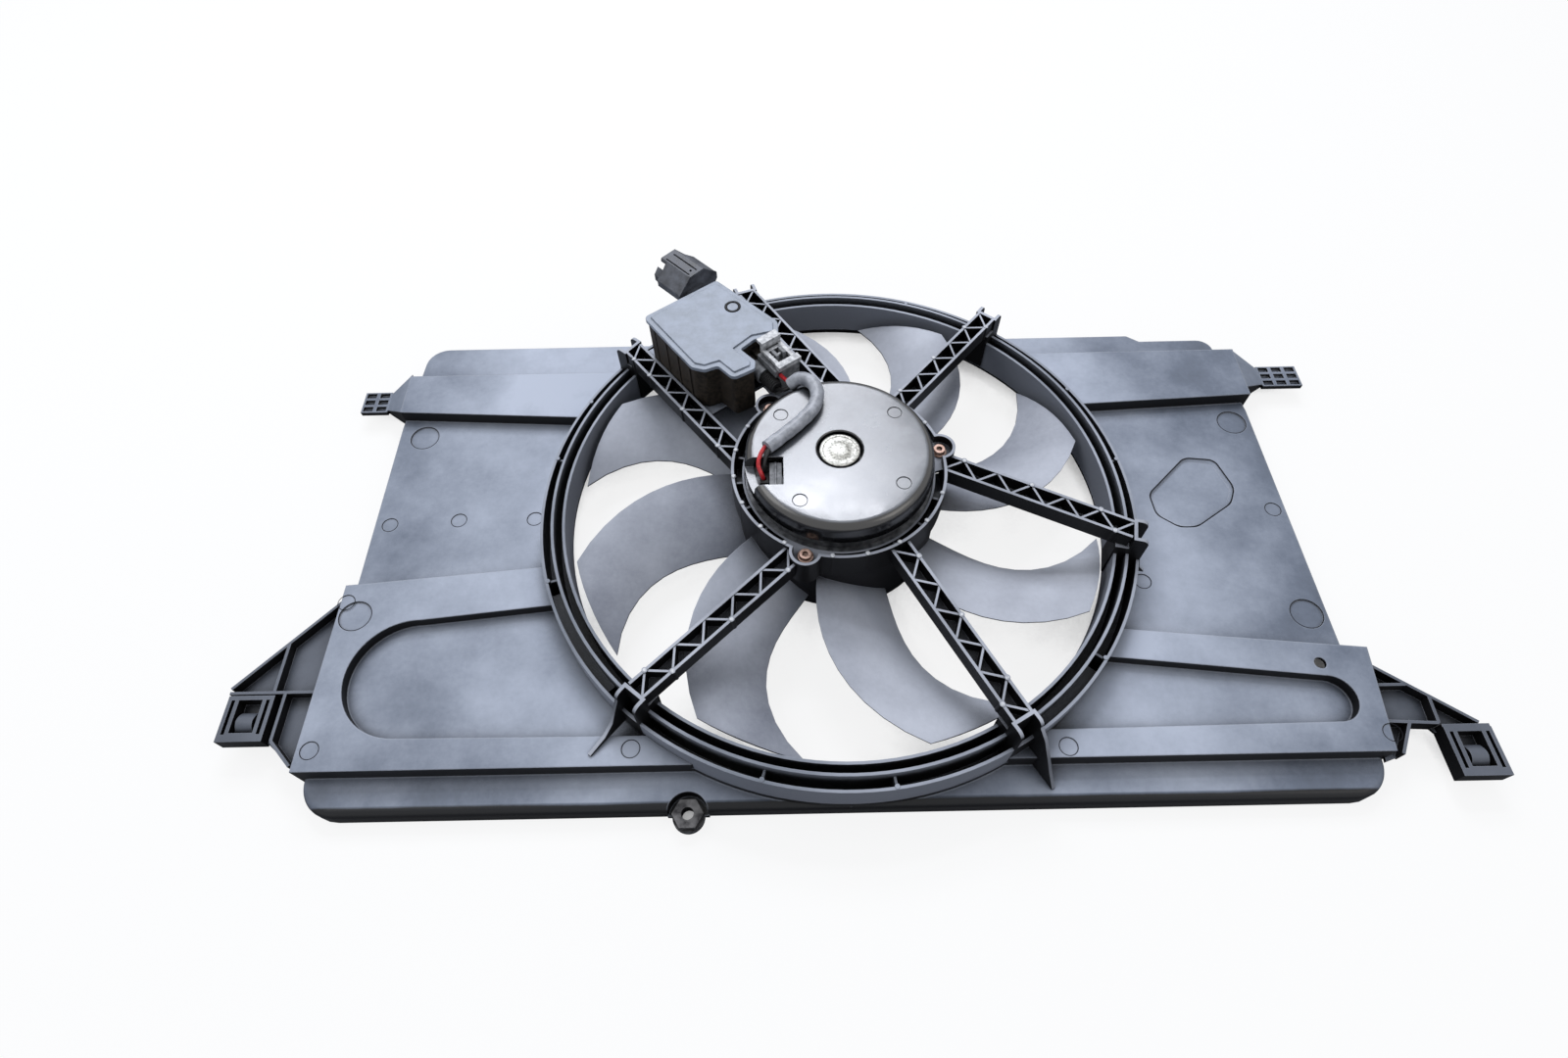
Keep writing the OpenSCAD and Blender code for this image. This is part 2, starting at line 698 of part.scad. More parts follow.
// Outer outline of the motor carrier, with a bulge round each screw ear
module carrier_outline(by) {
    circle(carrier_r - by);
    ear_area(11 - by);
}

module motor_carrier() {
    color([0.2, 0.22, 0.25]) {
        difference() {
            union() {
                translate([0, 0, carrier_base]) linear_extrude(carrier_top - carrier_base) difference() {
                    carrier_outline(0);
                    carrier_outline(2);
                }
                tube(can_r + 6.5, can_r + 5, carrier_base, ear_top);
                tube(carrier_r - 1, can_r + 5, carrier_base, carrier_base + 2);
                for (a = carrier_ribs) rotate([0, 0, a]) {
                    translate([can_r + 5.5, -0.8, carrier_base]) cube([carrier_r - can_r - 6.5, 1.6, 14.5]);
                    translate([carrier_r - 1.5, 0, carrier_base + 1])
                        cylinder(r = 1.7, h = carrier_top - carrier_base - 0.7, $fn = 24);
                }
            }
            ear_pockets();
        }
        difference() {
            translate([0, 0, ear_top - ear_t]) linear_extrude(ear_t) difference() {
                union() {
                    ear_area(10);
                    for (a = screw_angles) rotate([0, 0, a])
                        polygon([polar(can_r + 5, -14), polar(carrier_r - 1, -12),
                            polar(carrier_r - 1, 12), polar(can_r + 5, 14)]);
                }
                circle(can_r + 5);
            }
            for (a = screw_angles) rotate([0, 0, a])
                translate([screw_r, 0, carrier_base]) cylinder(r = screw_d / 2 + 0.3, h = 40);
        }
    }
}

// The room that the towers and the carrier take from the struts and the tray
module strut_ends() {
    for (s = struts) rotate([0, 0, s[1]])
        translate([tower_in, -tower_w, ring_floor - 1])
            cube([tower_out + strut_w - tower_in, 2 * tower_w, strut_high]);
    translate([0, 0, carrier_base - 1]) linear_extrude(strut_high) carrier_outline(0);
}

module lattice_struts() {
    color([0.2, 0.22, 0.25]) difference() {
        for (s = struts) strut(s[0], s[1]);
        strut_ends();
    }
}

module strut_towers() {
    cheek = tower_w / 2 - 1.2;
    color([0.2, 0.22, 0.25]) {
        intersection() {
            union() {
                for (s = struts) tower(s[0], s[1]);
            }
            cylinder(r = ring_r, h = carrier_top);
        }
        difference() {
            union() {
                fin(struts[3][1], -cheek, 32, strut_low - 5, panel_h,
                    [[0.14, 0.76], [0.3, 0.52], [0.57, 0.37], [1, 0.31]]);
                fin(struts[2][1], cheek, 28, strut_low - 5, panel_h,
                    [[0.25, 0.82], [0.5, 0.54], [0.72, 0.28], [1, 0]]);
                for (i = [0, 1, 4, 5], side = [-cheek, cheek])
                    fin(struts[i][1], side, 7, 48, 30, [[0.15, 0.6], [0.4, 0.25], [1, 0]]);
            }
            near_band(0, 0, near_band_h);
            translate([0, 0, -1]) cylinder(r = ring_r, h = 26);
        }
    }
}

// The tray between the two far struts that the control module lies on
module module_tray() {
    color([0.2, 0.22, 0.25]) difference() {
        module_frame() difference() {
            translate([0, 0, module_base - 2.5]) linear_extrude(2.5)
                polygon([[-42, -38], [44, -38], [44, 51], [-42, 58]]);
            translate([-sink_x - 0.5, -sink_y - 0.5, 0]) cube([2 * sink_x + 1, 2 * sink_y + 1, module_rim]);
        }
        for (i = [4, 5]) {
            strut_room(struts[i][0], struts[i][1]);
            strut(struts[i][0], struts[i][1]);
        }
        strut_ends();
    }
}

// Room under each screw ear for the motor's own flange ears
module ear_pockets() {
    for (a = screw_angles) rotate([0, 0, a]) {
        translate([screw_r, 0, carrier_base - 1]) cylinder(r = 8.6, h = carrier_top);
        translate([can_r, -8.6, carrier_base - 1]) cube([screw_r - can_r, 17.2, carrier_top]);
    }
}

// Fan

module blade() {
    rows = [for (i = [0:blade_rows]) let (t = i / blade_rows, r = blade_root + (blade_tip - blade_root) * t)
        each concat(
            [for (j = [0:blade_cols]) blade_point(t, r, j / blade_cols, 0.5)],
            [for (j = [blade_cols:-1:0]) blade_point(t, r, j / blade_cols, -0.5)])];
    polyhedron(rows, skin_faces(blade_rows + 1, 2 * (blade_cols + 1)));
}

function blade_point(t, r, c, side) = let (
    a = trail_angle(t) + (lead_angle(t) - trail_angle(t)) * c,
    z = trail_z(t) + (lead_z(t) - trail_z(t)) * c + 3.5 * sin(180 * c),
    edge = 0.25 + 0.75 * pow(sin(180 * max(0.02, min(c, 0.98))), 0.5))
    [r * cos(a), r * sin(a), z + side * blade_t * edge];

module fan() {
    color([0.24, 0.26, 0.28]) {
        difference() {
            union() {
                difference() {
                    translate([0, 0, hub_face]) cylinder(r = hub_r, h = hub_top - hub_face);
                    translate([0, 0, hub_face + 3]) cylinder(r = hub_r - 2.5, h = hub_top);
                }
                translate([0, 0, hub_face - 2]) cylinder(r = 14, h = 7);
                for (i = [0:15]) rotate([0, 0, 22.5 * i])
                    translate([12, -0.8, hub_face]) cube([hub_r - 13.5, 1.6, 5.5]);
            }
            translate([0, 0, hub_face - 4]) cylinder(r = shaft_d / 2 + 4, h = 12);
        }
        for (i = [0:blade_count - 1]) rotate([0, 0, 360 * i / blade_count]) blade();
    }
}

module fan_hub_insert() {
    color([0.7, 0.6, 0.35]) tube(shaft_d / 2 + 4, shaft_d / 2, hub_face - 2, hub_face + 5);
}

module fan_clip() {
    color([0.55, 0.56, 0.58]) difference() {
        tube(shaft_d / 2 + 3, shaft_d / 2, hub_face - 3.2, hub_face - 2);
        translate([0, -1, hub_face - 4]) cube([20, 2, 4]);
    }
}

// Motor

module motor_shaft() {
    color([0.75, 0.76, 0.78]) {
        translate([0, 0, shaft_low]) cylinder(r = shaft_d / 2, h = shaft_high - shaft_low);
    }
}

module motor_can() {
    color([0.5, 0.51, 0.53]) difference() {
        union() {
            translate([0, 0, can_low]) cylinder(r = can_r, h = can_top - can_low);
            translate([0, 0, can_top - 1]) cylinder(r = boss_r, h = boss_top - can_top + 1);
            difference() {
                translate([0, 0, ear_top - ear_t - flange_t]) linear_extrude(flange_t) {
                    circle(can_r + 4.5);
                    for (a = screw_angles) rotate([0, 0, a]) {
                        translate([screw_r, 0]) circle(8);
                        polygon([[can_r - 1, -8], [screw_r, -8], [screw_r, 8], [can_r - 1, 8]]);
                    }
                }
                for (a = screw_angles) rotate([0, 0, a])
                    translate([screw_r, 0, 0]) cylinder(r = screw_d / 2, h = cover_top);
            }
        }
        translate([0, 0, can_low - 1]) cylinder(r = can_r - can_wall, h = can_top - can_low - can_wall + 1);
        translate([0, 0, can_top - can_wall - 1])
            cylinder(r = bush_r, h = bush_low + bush_h - can_top + can_wall + 1);
        for (i = [0:5]) rotate([0, 0, 15 + 60 * i])
            translate([can_r * 0.62, 0, can_top - can_wall - 1]) cylinder(r = 4, h = can_wall + 2);
    }
}

module front_end_plate() {
    color([0.62, 0.63, 0.64]) difference() {
        union() {
            translate([0, 0, can_low]) cylinder(r = can_r - can_wall, h = 2.5);
            translate([0, 0, race_low - 1.5]) cylinder(r = boss_r, h = can_low + 2.5 - race_low + 1.5);
        }
        translate([0, 0, race_low]) cylinder(r = race_out, h = 20);
        cylinder(r = 8, h = 60);
        for (i = [0:5]) rotate([0, 0, 60 * i]) translate([can_r * 0.6, 0, can_low - 1]) cylinder(r = 6, h = 6);
    }
}

module rear_bush() {
    color([0.62, 0.45, 0.28]) tube(bush_r, shaft_d / 2 + shaft_play, bush_low, bush_low + bush_h);
}

module ball_groove() {
    translate([0, 0, race_low + race_h / 2]) rotate_extrude()
        translate([ball_circle_r, 0]) circle(ball_r + 0.3, $fn = 32);
}

module bearing_outer_race() {
    color([0.78, 0.79, 0.8]) difference() {
        tube(race_out, race_gap_out - 0.8, race_low, race_low + race_h);
        ball_groove();
    }
}

module bearing_inner_race() {
    color([0.78, 0.79, 0.8]) difference() {
        tube(race_gap_in + 0.6, shaft_d / 2, race_low, race_low + race_h);
        ball_groove();
    }
}

module bearing_balls() {
    color([0.85, 0.86, 0.88])
        for (i = [0:ball_count - 1]) rotate([0, 0, 360 * i / ball_count])
            translate([ball_circle_r, 0, race_low + race_h / 2]) sphere(ball_r, $fn = 24);
}

module bearing_cage() {
    color([0.7, 0.58, 0.3]) difference() {
        tube(ball_circle_r + 0.5, ball_circle_r - 0.5, race_low + 1, race_low + race_h - 1);
        for (i = [0:ball_count - 1]) rotate([0, 0, 360 * i / ball_count])
            translate([ball_circle_r - 3, 0, race_low + race_h / 2]) rotate([0, 90, 0])
                cylinder(r = ball_r, h = 6);
    }
}

module field_magnets() {
    color([0.22, 0.22, 0.23])
        for (i = [0:3]) intersection() {
            tube(can_r - can_wall, armature_r + 0.8, core_low - 4, core_low + core_h + 4);
            wedge(90 * i + 10, 90 * i + 80, can_r + 20, core_low - 4, core_low + core_h + 4);
        }
}

module slots(w, from, to, low, high) {
    for (i = [0:slot_count - 1]) rotate([0, 0, 360 * i / slot_count])
        translate([from, -w / 2, low]) cube([to - from, w, high - low]);
}

module armature_core() {
    color([0.45, 0.46, 0.48]) difference() {
        tube(armature_r, shaft_d / 2, core_low, core_low + core_h);
        slots(slot_w, slot_in, slot_out, core_low - 1, core_low + core_h + 1);
        slots(3, slot_out - 1, armature_r + 1, core_low - 1, core_low + core_h + 1);
    }
}

module armature_windings() {
    color([0.72, 0.4, 0.2]) {
        slots(slot_w - 0.6, slot_in + 0.3, slot_out - 0.3, core_low - 1, core_low + core_h + 1);
        tube(slot_out - 0.3, slot_in - 8, core_low - end_turn_h, core_low);
        tube(slot_out - 0.3, slot_in - 8, core_low + core_h, core_low + core_h + end_turn_h);
    }
}

module commutator() {
    color([0.75, 0.45, 0.25]) difference() {
        union() {
            tube(commutator_r, shaft_d / 2, commutator_low, commutator_low + commutator_h);
            tube(commutator_r + 2, shaft_d / 2, commutator_low, commutator_low + 1.5);
        }
        for (i = [0:slot_count - 1]) rotate([0, 0, 360 * (i + 0.5) / slot_count])
            translate([commutator_r - 1.5, -0.3, commutator_low + 1.5]) cube([3, 0.6, commutator_h]);
    }
}

module brush_plate() {
    color([0.35, 0.28, 0.2]) difference() {
        tube(can_r - can_wall, commutator_r + 3, brush_deck, brush_deck + 2);
        for (i = [0:3]) rotate([0, 0, 90 * i]) translate([can_r - 20, 0, 0])
            cylinder(r = 5, h = cover_top);
    }
}

module at_brushes() {
    for (a = brush_angles) rotate([0, 0, a]) translate([0, 0, brush_deck + 2]) children();
}

module brush_holders() {
    color([0.8, 0.65, 0.3]) at_brushes() difference() {
        translate([commutator_r + 4, -5, 0]) cube([18, 10, 8.5]);
        translate([commutator_r + 3, -4, 1]) cube([24, 8, 6.5]);
    }
}

module brushes() {
    color([0.2, 0.2, 0.21]) difference() {
        at_brushes() translate([commutator_r - 2, -3.9, 1.1]) cube([16, 7.8, 6.3]);
        cylinder(r = commutator_r + 0.1, h = cover_top);
    }
}

// Flat spiral springs that push the brushes in
module brush_springs() {
    turns = 2.5;
    steps = 30;
    t = 0.5;
    color([0.7, 0.71, 0.73]) at_brushes() translate([commutator_r + 14.3, 0, 1.3]) linear_extrude(5.5)
        polygon(concat(
            [for (i = [0:steps]) polar(1 + 2.3 * i / steps, 180 - 360 * turns * i / steps) + [3.9, 0]],
            [for (i = [steps:-1:0]) polar(1 - t + 2.3 * i / steps, 180 - 360 * turns * i / steps) + [3.9, 0]]));
}

module suppression_chokes() {
    color([0.3, 0.3, 0.32]) for (a = [80, 190]) rotate([0, 0, a])
        translate([can_r - 18, -9, brush_deck + 2 + 4.5]) rotate([-90, 0, 0]) {
            cylinder(r = 3, h = 20);
            for (i = [0:6]) translate([0, 0, 2 + 2.4 * i]) cylinder(r = 4.5, h = 1.6);
        }
}

module motor_cover() {
    shoulder = 6.5;
    profile = concat([[can_r + 0.2, can_top - 4], [cover_r, can_top - 4], [cover_r, can_top + 1],
        [cover_r - 0.7, cover_top - shoulder]],
        [for (i = [1:6]) [cover_r - 0.7 - shoulder * (1 - cos(15 * i)),
            cover_top - shoulder * (1 - sin(15 * i))]],
        [[cover_hole_r + 0.8, cover_top], [cover_hole_r, cover_top - 0.8], [cover_hole_r, cover_top - 3],
        [cover_r - 8, cover_top - 3], [can_r - 2, cover_top - 9], [can_r - 2, can_top],
        [can_r + 0.2, can_top]]);
    color([0.3, 0.31, 0.33]) difference() {
        rotate_extrude() polygon(profile);
        translate([lead_x - 25, lead_y - 7, can_top + 1.5]) cube([41, lead_slot_w, cover_top]);
        for (a = [38, 142, 236, 324]) rotate([0, 0, a])
            translate([51, 0, cover_top - 0.3]) cylinder(r = 5, h = 2);
    }
}

module motor_screws() {
    color([0.72, 0.45, 0.33]) for (a = screw_angles) rotate([0, 0, a]) translate([screw_r, 0, 0]) {
        translate([0, 0, ear_top]) cylinder(r = screw_d * 1.1, h = 1);
        difference() {
            translate([0, 0, ear_top]) cylinder(r = screw_d * 0.84, h = 4);
            translate([0, 0, ear_top + 2]) cylinder(r = screw_d * 0.42, h = 4, $fn = 6);
        }
        translate([0, 0, ear_top - 12]) cylinder(r = screw_d / 2, h = 12);
    }
}

module lead_grommet() {
    color([0.12, 0.12, 0.13]) difference() {
        translate([lead_x, lead_y, can_top]) cube([6, 13, 4]);
        for (p = [red_motor_points[4], black_motor_points[4]])
            translate([p.x, p.y, can_top - 1]) cylinder(r = wire_d / 2, h = 10);
    }
}

module lead_clip() {
    color([0.72, 0.73, 0.74]) translate([lead_x + 6.5, lead_y - 5, can_top]) {
        cube([1.2, 19, 8]);
        translate([0, 0, 7]) cube([8.5, 19, 1.2]);
        for (i = [0:2]) translate([1, 2 + 6.5 * i, 0]) cube([6, 1.5, 7.5]);
        translate([3.5, 0, 8]) cube([1.4, 19, 1]);
    }
}

// Control module

module module_frame() {
    translate([module_x, module_y, 0]) rotate([0, 0, module_turn]) children();
}

module module_shape(by) {
    polygon(rounded(inset(module_outline, by), shrink(module_corners, by)));
}

module header_opening() {
    translate([20, plug_y - 8, plug_z + 5]) cube([plug_x - 20 + 1, 16, 10]);
    translate([-50, collar_y - 10, collar_z - 6]) cube([20, 20, 12]);
}

module module_housing() {
    in_wall = lid_lip + module_wall;
    color([0.25, 0.24, 0.24]) module_frame() difference() {
        union() {
            translate([0, 0, module_base]) linear_extrude(module_rim - module_base) module_shape(lid_lip);
            for (x = [-24, -8, 8, 24]) for (s = [-1, 1])
                translate([x - 0.8, s > 0 ? 35 + x * 0.11 - 1.2 - 2 : -36.4, module_base])
                    cube([1.6, 2, module_rim - module_base - 4]);
            translate([plug_x - 10, plug_y - plug_w / 2, plug_z]) cube([10, plug_w, plug_h - 2]);
            translate([plug_x - 10, barrel_y, barrel_z]) rotate([0, 90, 0]) cylinder(r = 6.5, h = 10);
        }
        difference() {
            translate([0, 0, module_base + 2.5]) linear_extrude(module_rim) module_shape(in_wall);
            for (p = [[-28, -30], [28, -28], [-28, 22], [26, 32]])
                translate([p.x, p.y, 0]) cylinder(r = 3, h = board_z);
        }
        header_opening();
    }
}

module module_lid() {
    color([0.36, 0.38, 0.42]) module_frame() difference() {
        union() {
            translate([0, 0, module_rim]) linear_extrude(lid_t) module_shape(0);
            translate([0, 0, module_rim + lid_t]) linear_extrude(1.2) module_shape(4);
        }
        translate([-2, 22, module_rim + lid_t]) difference() {
            cylinder(r = 6.2, h = 4);
            translate([0, 0, -1]) cylinder(r = 4.2, h = 6);
        }
        translate([0, 0, module_rim - 1]) linear_extrude(2) difference() {
            module_shape(lid_lip + 0.3);
            module_shape(lid_lip + 1.5);
        }
    }
}

module lid_seal() {
    color([0.1, 0.1, 0.1]) module_frame() translate([0, 0, module_rim]) linear_extrude(1) difference() {
        module_shape(lid_lip + 0.3);
        module_shape(lid_lip + 1.5);
    }
}

module vent_cap() {
    color([0.2, 0.2, 0.22]) module_frame() translate([-2, 22, module_rim + lid_t]) difference() {
        cylinder(r = 5.8, h = 1.6);
        translate([0, 0, -1]) cylinder(r = 4.6, h = 4);
    }
}

module circuit_board() {
    color([0.15, 0.4, 0.25]) module_frame() translate([0, 0, board_z]) linear_extrude(board_t) difference() {
        module_shape(lid_lip + module_wall + 1);
        translate([34, -60]) square([60, 120]);
    }
}

module on_board() {
    module_frame() translate([0, 0, board_z + board_t]) children();
}

module power_transistors() {
    color([0.15, 0.15, 0.16]) on_board() for (i = [0:2]) translate([-24, -24 + 14 * i, 0]) {
        cube([15, 10, 4.5]);
        translate([15, 0, 0]) cube([4, 10, 1.3]);
    }
}

module filter_capacitors() {
    color([0.25, 0.3, 0.5]) on_board() for (i = [0:1]) translate([4 + 15 * i, -22, 0]) {
        cylinder(r = 6.25, h = 18);
        cylinder(r = 6.6, h = 1);
    }
}

module filter_coil() {
    color([0.7, 0.45, 0.25]) on_board() translate([12, 6, 4.5])
        rotate_extrude() translate([8, 0]) circle(4.5, $fn = 32);
}

module heat_sink() {
    color([0.7, 0.71, 0.73]) module_frame() {
        translate([-sink_x, -sink_y, module_base - 2.5]) cube([2 * sink_x, 2 * sink_y, 2.5]);
        for (i = [0:7]) translate([-sink_x + 1 + i * (2 * sink_x - 4) / 7, -sink_y, module_base - 9])
            cube([2, 2 * sink_y, 7]);
    }
}

// The collar's outline: eight sides, flat above, its middle in the outline's middle
module collar_profile(half, grow) {
    h = collar_h / 2 + grow;
    w = half + grow;
    polygon([[-7, h], [7, h], [w, 4.3], [w, -1.3], [9, -h], [-9, -h], [-w, -1.3], [-w, 4.3]]);
}

module supply_connector() {
    neck_r = collar_h / 2 - 6.3;
    neck_side = collar_w / 2 - 7 - neck_r;
    narrow = collar_w / 2 - 3;
    color([0.13, 0.13, 0.14]) module_frame() translate([lid_lip - 35, collar_y, collar_z])
        rotate([0, -90, 0]) rotate([0, 0, -90]) difference() {
            union() {
                linear_extrude(collar_gap + 2) {
                    for (s = [-1, 1]) translate([s * neck_side, 0]) circle(neck_r);
                    square([2 * neck_side, 2 * neck_r], center = true);
                }
                hood_frame() difference() {
                    union() {
                        linear_extrude(collar_l) collar_profile(narrow, 0);
                        linear_extrude(collar_l - 7) collar_profile(collar_w / 2, 0);
                        linear_extrude(1.6) collar_profile(collar_w / 2, 0.5);
                    }
                    translate([0, 0, 6]) linear_extrude(collar_l) collar_profile(narrow, -2);
                    for (x = [5.4, -2.4]) translate([x - 0.6, collar_h / 2 - 1.3, 3]) cube([1.2, 3, collar_l - 7]);
                    translate([0.5, collar_h / 2 - 1.3, 5]) cube([1.8, 3, 1.8]);
                    translate([8, collar_h / 2 - 8, collar_l - 6]) cube([4, 8, 7]);
                }
            }
            for (s = [-1, 1]) translate([s * 6 - 3, -0.5, -1]) cube([6, 1, 60]);
        }
}

// Where the collar starts, turned a little from the module's long side
module hood_frame() {
    translate([-5.5, 5.3, collar_gap]) rotate([0, hood_turn, 0]) children();
}

module supply_pins() {
    color([0.8, 0.78, 0.7]) module_frame() for (s = [-1, 1])
        translate([lid_lip - 35 - collar_gap - 16, collar_y + s * 6 - 3, collar_z - 0.5])
            cube([collar_gap + 22, 6, 1]);
}

// Motor plug and lead

module motor_plug() {
    color([0.32, 0.33, 0.35]) module_frame() difference() {
        union() {
            translate([plug_x, plug_y - plug_w / 2, plug_z]) cube([plug_l, plug_w, plug_h]);
            for (y = [plug_y - 4.5, plug_y + 2])
                translate([latch_pin_x - 3.5, y, plug_z + plug_h - 1]) cube([7, 2.5, 7.5]);
            translate([plug_x, barrel_y, barrel_z]) rotate([0, 90, 0]) cylinder(r = 6.5, h = barrel_l);
        }
        for (s = [-1, 1]) translate([plug_x - 1, plug_y + s * 5 - 2, plug_z + 9]) cube([12, 4, 1.5]);
        translate([latch_pin_x, plug_y, latch_z]) rotate([90, 0, 0]) cylinder(r = 1.05, h = 40, center = true);
        translate([plug_x + barrel_l - 5, barrel_y, barrel_z]) rotate([0, 90, 0]) cylinder(r = 4.5, h = 8);
        translate([plug_x + barrel_l, barrel_y, barrel_z]) rotate([0, 90, 0]) cylinder(r = 6, h = plug_l);
    }
}

module plug_terminals() {
    color([0.8, 0.78, 0.7]) module_frame() for (s = [-1, 1])
        translate([plug_x - 16, plug_y + s * 5 - 2, plug_z + 9]) cube([26, 4, 1.5]);
}

// The latch hooks over the lid's edge and turns on a pin between its two arms
module plug_latch() {
    half = 8.5;
    color([0.75, 0.76, 0.78]) module_frame() {
        for (y = [plug_y - half, plug_y + half - 3])
            translate([plug_x + 0.5, y, latch_z - 1.4]) cube([plug_l + 2, 3, 2.8]);
        translate([plug_x + 0.5, plug_y - half, latch_z - 1.4])
            cube([2.5, 2 * half, latch_hook_z - latch_z + 4.4]);
        translate([plug_x - 4, plug_y - half, latch_hook_z]) cube([7, 2 * half, 3]);
        translate([plug_x + plug_l - 2, plug_y - half - 1.5, latch_z - 1]) cube([5.5, 2 * half + 3, 4]);
        translate([plug_x + 4.5, plug_y - half, latch_z - 0.6]) cube([2.5, 2 * half, 2]);
        translate([latch_pin_x, plug_y + half - 1, latch_z]) rotate([90, 0, 0]) cylinder(r = 1, h = 2 * half - 2);
    }
}

module plug_sleeve() {
    color([0.1, 0.1, 0.1]) module_frame()
        translate([plug_x + barrel_l - 5, barrel_y, barrel_z]) rotate([0, 90, 0]) difference() {
            union() {
                cylinder(r = 4.5, h = 20);
                for (i = [0:5]) translate([0, 0, 5.6 + 2.4 * i]) cylinder(r = 5.4, h = 1.4);
            }
            translate([0, 0, -1]) cylinder(r = wire_d / 2 + 0.1, h = 24);
        }
}

module lead_sheath() {
    color([0.2, 0.2, 0.21]) swept_tube(sheath_points, sheath_d, 2, [0, 0, 1]);
}

module red_wire() {
    color([0.75, 0.08, 0.08]) {
        swept_tube(red_plug_points, wire_d, 3, [0, 0, 1]);
        swept_tube(red_motor_points, wire_d, 3, [0.9, 0.3, 0.1]);
    }
}

module black_wire() {
    color([0.08, 0.08, 0.08]) {
        swept_tube(black_plug_points, wire_d, 3, [0, 0, 1]);
        swept_tube(black_motor_points, wire_d, 3, [0.9, 0.3, 0.1]);
    }
}

left_panel();
right_panel();
left_arm();
right_arm();
left_tab();
right_tab();
fan_ring();
motor_carrier();
lattice_struts();
strut_towers();
module_tray();
lip_nut();
fan();
fan_hub_insert();
fan_clip();
motor_shaft();
motor_can();
front_end_plate();
rear_bush();
bearing_outer_race();
bearing_inner_race();
bearing_balls();
bearing_cage();
field_magnets();
armature_core();
armature_windings();
commutator();
brush_plate();
brush_holders();
brushes();
brush_springs();
suppression_chokes();
motor_cover();
motor_screws();
lead_grommet();
lead_clip();
module_housing();
module_lid();
lid_seal();
vent_cap();
circuit_board();
power_transistors();
filter_capacitors();
filter_coil();
heat_sink();
supply_connector();
supply_pins();
motor_plug();
plug_terminals();
plug_latch();
plug_sleeve();
lead_sheath();
red_wire();
black_wire();
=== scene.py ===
# %% [markdown]
# # Radiator fan, dressed for its portrait
#
# A car's radiator fan is mostly moulded nylon: a flat shroud that covers the radiator, a ring that
# the blades run in, and lattice struts that carry a flat electric motor over the middle. The exact
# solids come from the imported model. Here they get real surfaces. The lead and the plug's knurled
# sleeve, which the solids keep plain, are modelled anew, and fine relief is laid on the motor's end.
# First the solids are loaded. They are the frame: nothing in it is ever moved.

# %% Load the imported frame
import json
import math

import bmesh
import bpy
from mathutils import Matrix, Vector


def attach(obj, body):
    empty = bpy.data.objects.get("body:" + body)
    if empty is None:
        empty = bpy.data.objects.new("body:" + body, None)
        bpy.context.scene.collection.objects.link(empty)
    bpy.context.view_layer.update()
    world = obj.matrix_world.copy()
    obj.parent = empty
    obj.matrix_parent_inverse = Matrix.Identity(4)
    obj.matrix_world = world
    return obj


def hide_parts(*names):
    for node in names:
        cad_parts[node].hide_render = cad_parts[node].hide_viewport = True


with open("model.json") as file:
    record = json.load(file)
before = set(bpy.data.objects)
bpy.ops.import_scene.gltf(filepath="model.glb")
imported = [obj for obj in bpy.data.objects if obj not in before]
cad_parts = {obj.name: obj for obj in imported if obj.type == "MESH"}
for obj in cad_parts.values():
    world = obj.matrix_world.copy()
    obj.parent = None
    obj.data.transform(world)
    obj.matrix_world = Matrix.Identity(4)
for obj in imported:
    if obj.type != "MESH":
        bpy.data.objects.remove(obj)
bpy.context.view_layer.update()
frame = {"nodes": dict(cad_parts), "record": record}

MM = 0.001
nodes = frame["nodes"]

# %% [markdown]
# ## The camera
#
# The view is a handheld one, from the near side and well above, through a wide lens. The camera's
# place was solved from the ring, which is a true circle, and from the panel's straight edges. A
# rotation is built from its three axes: right, up and backwards, because a camera looks down its
# own -Z.

# %% Place the camera
PITCH, YAW, ROLL = math.radians(57.2), math.radians(-0.26), math.radians(1.38)
CAMERA_AT = (-38.05, -364.32, 566.9)
SENSOR_WIDTH, FOCAL_PIXELS, PICTURE_PIXELS = 36, 874.56, 1600
forward = Vector((math.sin(YAW) * math.cos(PITCH), math.cos(YAW) * math.cos(PITCH), -math.sin(PITCH)))
level = Vector((math.cos(YAW), -math.sin(YAW), 0))
down = forward.cross(level)
right = math.cos(ROLL) * level + math.sin(ROLL) * down
down = -math.sin(ROLL) * level + math.cos(ROLL) * down

lens = bpy.data.cameras.new("portrait_lens")
lens.sensor_width = SENSOR_WIDTH
lens.lens = SENSOR_WIDTH * FOCAL_PIXELS / PICTURE_PIXELS
lens.clip_start, lens.clip_end = 0.01, 50
camera = bpy.data.objects.new("portrait_camera", lens)
bpy.context.scene.collection.objects.link(camera)
place = Matrix((right, -down, -forward)).transposed().to_4x4()
place.translation = Vector(CAMERA_AT) * MM
camera.matrix_world = place
bpy.context.scene.camera = camera
print("lens:", round(lens.lens, 2), "mm, height over the floor:", round(place.translation.z, 3), "m")

# %% [markdown]
# ## Small helpers for materials
#
# Colours are easiest to pick as sRGB hex values, but shaders calculate in linear light, so one
# function converts them. Another adds a node, gives it its settings and links its inputs, so that
# each material reads as a list of what it does. Two more start a material and lay a colour ramp.

# %% Colour and node helpers
def srgb(code):
    """'#808080' as an opaque colour in linear light."""
    parts = [int(code[i : i + 2], 16) / 255 for i in (1, 3, 5)]
    return tuple(p / 12.92 if p <= 0.04045 else ((p + 0.055) / 1.055) ** 2.4 for p in parts) + (1.0,)


